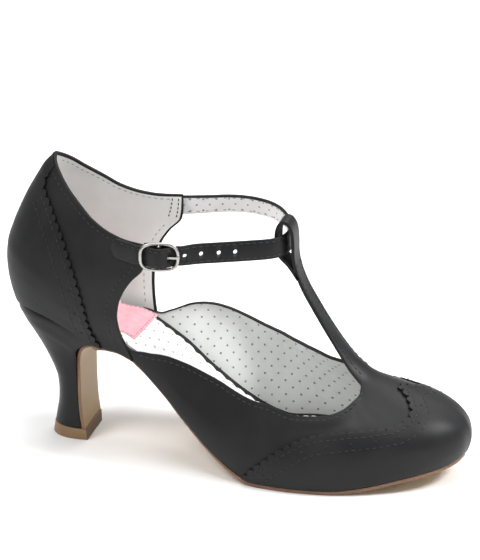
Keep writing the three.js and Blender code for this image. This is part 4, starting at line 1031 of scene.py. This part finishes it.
buckle = {"x": 52.3, "y": -34.3, "z": 108.82, "turn": 0.227, "length": 18.8, "height": 14.4, "wire": 1.6,
          "bar": 1.2, "prong": 1.1, "clear": 0.25, "corner": 2 / 3, "tabWidth": 10.4}
buckle["reach"] = (buckle["length"] - buckle["wire"]) / 2
buckle["eye"] = buckle["bar"] / 2 + buckle["clear"] + 0.6


def inBuckle(x, z, out):
    turn = buckle["turn"]
    return Vector((buckle["x"] + math.cos(turn) * x + math.sin(turn) * out,
                   buckle["y"] + math.sin(turn) * x - math.cos(turn) * out, buckle["z"] + z))


# Frames along the strap: place, direction, outward and upward
def strapFrames(spacing):
    rise = last["gap"] + strap["thickness"] / 2
    reach = buckle["reach"]
    under = -(buckle["wire"] / 2 + buckle["clear"] + strap["thickness"] / 2)
    over = buckle["eye"] + last["gap"] + strap["thickness"] / 2
    rows = [(*onQuarter(s, 0.9, rise + 0.5), 0.06) for s in (0.86, 0.93, 0.99)]
    rows += strap["free"]
    rows += [(*inBuckle(x, 0, out), 0) for x, out in (
        (reach + 1.5, under - 0.1), (reach - 1.6, under + 0.1), (reach * 0.42, over * 0.35), (0, over),
        (-reach * 0.42, over * 0.4), (1.6 - reach, under + 0.1), (-reach - 1.5, under - 0.1))]
    rows += [(*onQuarter(s, 0.925, rise + 0.3), 0.05) for s in (-0.9, -0.85, -0.815)]
    line = smoothLine([Vector(r) for r in rows], spacing)
    frames = []
    for i, p in enumerate(line):
        d = line[min(i + 1, len(line) - 1)] - line[max(i - 1, 0)]
        along = Vector((d.x, d.y, 0)).normalized()
        flat = Vector((-along.y, along.x, 0))
        lean = p.w
        up = Vector((0, 0, math.cos(lean))) - flat * math.sin(lean)
        out = flat * math.cos(lean) + Vector((0, 0, math.sin(lean)))
        frames.append((Vector(p[:3]), along, out, up))
    return frames


def strapRing():
    w, t, r = strap["width"] / 2, strap["thickness"] / 2, strap["round"]
    ring = []
    for k, (x, y) in enumerate(((w - r, t - r), (r - w, t - r), (r - w, r - t), (w - r, r - t))):
        for m in range(3):
            a = math.pi / 2 * (k + m / 2)
            ring.append((x + r * math.cos(a), y + r * math.sin(a)))
        if k == 2:
            ring += [(w - strap["liningTop"], -t)]
    return ring


def makeStrap():
    frames = strapFrames(strap["spacing"])
    ring = strapRing()
    n, count = len(ring), len(frames) - 1
    bm = startMesh()

    def place(u, v):
        i = round(v * count)
        p, _, out, up = frames[i]
        left = (count - i) * strap["spacing"]
        past = max(strap["tip"] - left, 0) / strap["tip"]
        share = math.sqrt(1 - past * past * strap["taper"])
        a, b = ring[round(u * n) % n]
        return p + up * (a * share) + out * b
    grid = layGrid(bm, n, count, place, flip=True)
    flat = bm.verts.layers.float_vector["flat"]
    for (i, j), v in grid.items():
        a, b = ring[i % n]
        v[flat] = (j * strap["spacing"], a, b)
    for f in bm.faces:
        b = sum(v[flat][2] for v in f.verts) / len(f.verts)
        a = max(v[flat][1] for v in f.verts)
        f.material_index = 1 if b < -0.7 and a < strap["width"] / 2 - 0.9 else 0
    closeBody(bm)
    piece = addPiece("ankleStrap", bm, [black, strapLining], ["ankle_strap"])
    cutStrapHoles(piece, frames)
    trim = bmesh.new()
    half = strap["width"] / 2 - strap["stitchIn"]
    raised = strap["thickness"] / 2 + 0.03
    start = strap["seamEnd"]
    for edge in (-1, 1):
        line = [(p + up * (edge * half) + out * raised, out) for p, _, out, up in frames[:-start]]
        sewLine(trim, line, 3.1, material=0)
        inside = [(p + up * (edge * half) - out * raised, -out)
                  for p, _, out, up in frames[start:-strap["liningSeamEnd"]]]
        sewLine(trim, inside, 4.2, 1.7, 0.22, material=1)
    addPiece("strapStitches", trim, [shadedBlackThread, threadGrey])


# Real holes: round cutters taken out of the strap's mesh
def cutStrapHoles(piece, frames):
    first = min(range(len(frames) // 2, len(frames)),
                key=lambda i: (frames[i][0] - inBuckle(buckle["reach"] * 0.5, 0, 1)).length)
    bm = bmesh.new()
    for k in range(strap["holes"]):
        p, _, out, _ = frames[first - round(k * strap["holePitch"] / strap["spacing"])]
        turn = out.to_track_quat("Z", "Y").to_matrix().to_4x4()
        turn.translation = p
        bmesh.ops.create_cone(bm, cap_ends=True, segments=20, radius1=strap["hole"] / 2,
                              radius2=strap["hole"] / 2, depth=strap["thickness"] * 3, matrix=turn)
    cutter = addObject("strapHoleCutter", bm)
    cut = piece.modifiers.new("holes", "BOOLEAN")
    cut.object = cutter
    cut.operation = "DIFFERENCE"
    cut.solver = "EXACT"
    bpy.context.view_layer.update()
    made = bpy.data.meshes.new_from_object(piece.evaluated_get(bpy.context.evaluated_depsgraph_get()))
    piece.modifiers.remove(cut)
    piece.data = made
    bpy.data.objects.remove(cutter)
    print("strap holes cut", len(made.polygons))


def makeBuckle():
    reach, rise, r = buckle["reach"], (buckle["height"] - buckle["wire"]) / 2, buckle["wire"] / 2
    around, sides = 96, 14
    power = buckle["corner"]

    def curve(k):
        a = 2 * math.pi * k / around
        c, s = math.cos(a), math.sin(a)
        return Vector((reach * math.copysign(abs(c) ** power, c), rise * math.copysign(abs(s) ** power, s)))
    bm = bmesh.new()

    def place(u, v):
        k = round(v * around)
        a = 2 * math.pi * round(u * sides) / sides
        p, d = curve(k), curve(k + 0.5) - curve(k - 0.5)
        n = Vector((d.y, -d.x)).normalized()
        q = p + n * (math.cos(a) * r)
        return inBuckle(q.x, q.y, math.sin(a) * r * 0.9)
    layGrid(bm, sides, around, place)
    bmesh.ops.remove_doubles(bm, verts=bm.verts, dist=0.005)
    rod(bm, inBuckle(0, -rise, 0), inBuckle(0, rise, 0), buckle["bar"] / 2)
    bmesh.ops.recalc_face_normals(bm, faces=bm.faces)
    addPiece("buckleFrame", bm, [pewter], ["buckle_frame"])
    bm = bmesh.new()
    tip = r + buckle["clear"] + buckle["prong"] / 2
    rod(bm, inBuckle(0.4, 0, 0.5), inBuckle(reach * 0.55, 0, tip * 0.72), buckle["prong"] / 2)
    rod(bm, inBuckle(reach * 0.55, 0, tip * 0.72), inBuckle(reach + 0.9, 0, tip), buckle["prong"] / 2 * 0.92)
    eye(bm, buckle["bar"] / 2 + 0.1, buckle["eye"], 1.7)
    bmesh.ops.recalc_face_normals(bm, faces=bm.faces)
    soften(addPiece("buckleProng", bm, [pewter], ["buckle_prong"]), 0.12)
    bm = bmesh.new()
    ear = onQuarter(-1, 0.92, -0.9) - inBuckle(0, 0, 0)
    back = Vector((math.cos(buckle["turn"]), math.sin(buckle["turn"]), 0))
    endX = ear.dot(back) + 0.2
    endOut = ear.dot(Vector((math.sin(buckle["turn"]), -math.cos(buckle["turn"]), 0)))
    inner = buckle["bar"] / 2 + buckle["clear"]
    fold = [(endX, endOut + 0.35), (endX * 0.6, endOut + 0.6)]
    fold += [(inner * 1.3 * math.cos(a), inner * 1.3 * math.sin(a)) for a in steps(1.9, -1.9, 14)]
    fold += [(endX * 0.6, endOut - 0.3), (endX, endOut - 0.35)]
    half = buckle["tabWidth"] / 2
    layFold(bm, fold, half)
    backing = [(reach * 0.62, -1.5), (0.5, -1.3), (endX * 0.5, endOut * 0.5 - 1), (endX, endOut - 0.4)]
    layFold(bm, backing, half)
    tab = addPiece("buckleTab", bm, [black, edgeBlack, edgeBlack], ["buckle_tab"])
    wall(tab, 0.5, 1, 2, 0.1)


# A strip across the buckle that follows (x, out) places
def layFold(bm, path, half):
    n = len(path) - 1

    def place(u, v):
        x, out = path[round(u * n)]
        return inBuckle(x, mix(-half, half, v), out)
    layGrid(bm, n, 6, place)


def rod(bm, a, b, radius, segments=16):
    turn = (b - a).to_track_quat("Z", "Y").to_matrix().to_4x4()
    turn.translation = (a + b) / 2
    bmesh.ops.create_cone(bm, cap_ends=True, segments=segments, radius1=radius, radius2=radius,
                          depth=(b - a).length, matrix=turn)


# Round eye on the buckle's bar, its bore left open
def eye(bm, inner, outer, width):
    made = bmesh.ops.create_circle(bm, segments=28, radius=outer)
    ring = made["verts"]
    edges = list({e for v in ring for e in v.link_edges})
    inside = bmesh.ops.extrude_edge_only(bm, edges=edges)["geom"]
    verts = [g for g in inside if isinstance(g, bmesh.types.BMVert)]
    bmesh.ops.scale(bm, vec=(inner / outer, inner / outer, 1), verts=verts)
    faces = list({f for v in verts for f in v.link_faces})
    raised = bmesh.ops.extrude_face_region(bm, geom=faces)["geom"]
    top = [g for g in raised if isinstance(g, bmesh.types.BMVert)]
    bmesh.ops.translate(bm, vec=(0, 0, width), verts=top)
    body = list({v for v in ring + verts + top})
    for v in body:
        v.co = inBuckle(v.co.x, v.co.z - width / 2, v.co.y)


# Label: a plain pink patch sewn to the sock at the heel, with nothing written on it
label = {"corners": [(-4, -9), (-4, 17), (36, 17.5), (33.5, -12.5)], "raised": 4.6, "thick": 0.3,
         "seamIn": 0.06, "bankWidth": 46}


def sockPoint(x, y, raised):
    return Vector((x, y, seatZ(x) + bankZ(x) * (0.5 + y / label["bankWidth"]) + raised))


def makeLabel():
    a, b, c, d = [Vector((x, y, 0)) for x, y in label["corners"]]
    bm = startMesh()

    def place(u, v):
        p = a.lerp(d, u).lerp(b.lerp(c, u), v)
        return sockPoint(p.x, p.y, label["raised"] + label["thick"])
    layGrid(bm, 60, 60, place)
    flat = bm.verts.layers.float_vector["flat"]
    for v in bm.verts:
        v[flat] = v.co
    wall(addPiece("heelLabel", bm, [labelPink]), label["thick"], 0, 0, 0.1)
    trim = bmesh.new()
    centre = (a + b + c + d) / 4
    corners = [p.lerp(centre, label["seamIn"]) for p in (a, b, c, d, a)]
    for p, q in zip(corners, corners[1:]):
        line = [(sockPoint(*p.lerp(q, k)[:2], label["raised"] + label["thick"] + 0.02), Vector((0, 0, 1)))
                for k in steps(0, 1, 40)]
        sewLine(trim, line, 2.2, 1.6, 0.16)
    addPiece("labelStitches", trim, [threadRed])


makeQuarter()
makeVamp()
makeToeCap()
makeCounter()
makeEdgeSeams()
makeBedLayer("insoleBoard", 400, 24, bed["boardInset"], bed["boardLow"], bed["board"], 0, [boardBlack],
             ["insole"])
makeBedLayer("sockLining", 700, 30, bed["sockInset"], bed["sockLow"], bed["sock"], bed["scallop"], [sockDots],
             ["sock_lining"])
makeOutsole()
makeHeel()
makeStrap()
makeBuckle()
makeLabel()
print("pieces made")

# Pale floor, soft studio light and the camera at the photograph's angle
studio = {"target": (81.17, 0, 86.61), "azimuth": 15.37, "elevation": 23.15, "distance": 1552.5,
          "lens": 214.45, "floor": (0.96, 0.96, 0.96, 1), "floorSize": 8, "world": 0.33}
# Name, azimuth, elevation, distance and size in millimetres, power in watts
lights = [("keyLight", -40, 50, 1500, 600, 11), ("toeLight", 100, 42, 1300, 420, 16),
          ("rimLight", 170, 50, 1500, 900, 9), ("topLight", 10, 85, 1400, 700, 10)]


def makeStudio():
    scene = bpy.context.scene
    scene.view_settings.view_transform = "Standard"
    bm = bmesh.new()
    bmesh.ops.create_grid(bm, x_segments=1, y_segments=1, size=studio["floorSize"])
    floor = addObject("floor", bm, 1)
    floor.data.materials.append(Finish("paleFloor", Base_Color=studio["floor"], Roughness=0.9,
                                 Specular_IOR_Level=0.1).material)
    world = bpy.data.worlds.new("studio")
    world.use_nodes = True
    background = next(n for n in world.node_tree.nodes if n.type == "BACKGROUND")
    background.inputs["Color"].default_value = (1, 1, 1, 1)
    background.inputs["Strength"].default_value = studio["world"]
    scene.world = world
    target = Vector(studio["target"])
    for name, azimuth, elevation, distance, size, power in lights:
        light = bpy.data.lights.new(name, "AREA")
        light.shape = "DISK"
        light.size = size * mm
        light.energy = power
        lamp = bpy.data.objects.new(name, light)
        scene.collection.objects.link(lamp)
        aim(lamp, target, azimuth, elevation, distance)
    camera = bpy.data.cameras.new("camera")
    camera.lens = studio["lens"]
    camera.sensor_width = 36
    camera.sensor_fit = "AUTO"
    camera.clip_end = 20
    viewer = bpy.data.objects.new("camera", camera)
    scene.collection.objects.link(viewer)
    aim(viewer, target, studio["azimuth"], studio["elevation"], studio["distance"])
    scene.camera = viewer


# Azimuth 0 looks along +Y, and a larger one turns the view towards the toe
def aim(thing, target, azimuth, elevation, distance):
    a, e = math.radians(azimuth), math.radians(elevation)
    away = Vector((math.sin(a) * math.cos(e), -math.cos(a) * math.cos(e), math.sin(e)))
    thing.location = (target + away * distance) * mm
    thing.rotation_euler = away.to_track_quat("Z", "Y").to_euler()


makeStudio()
print("studio ready")
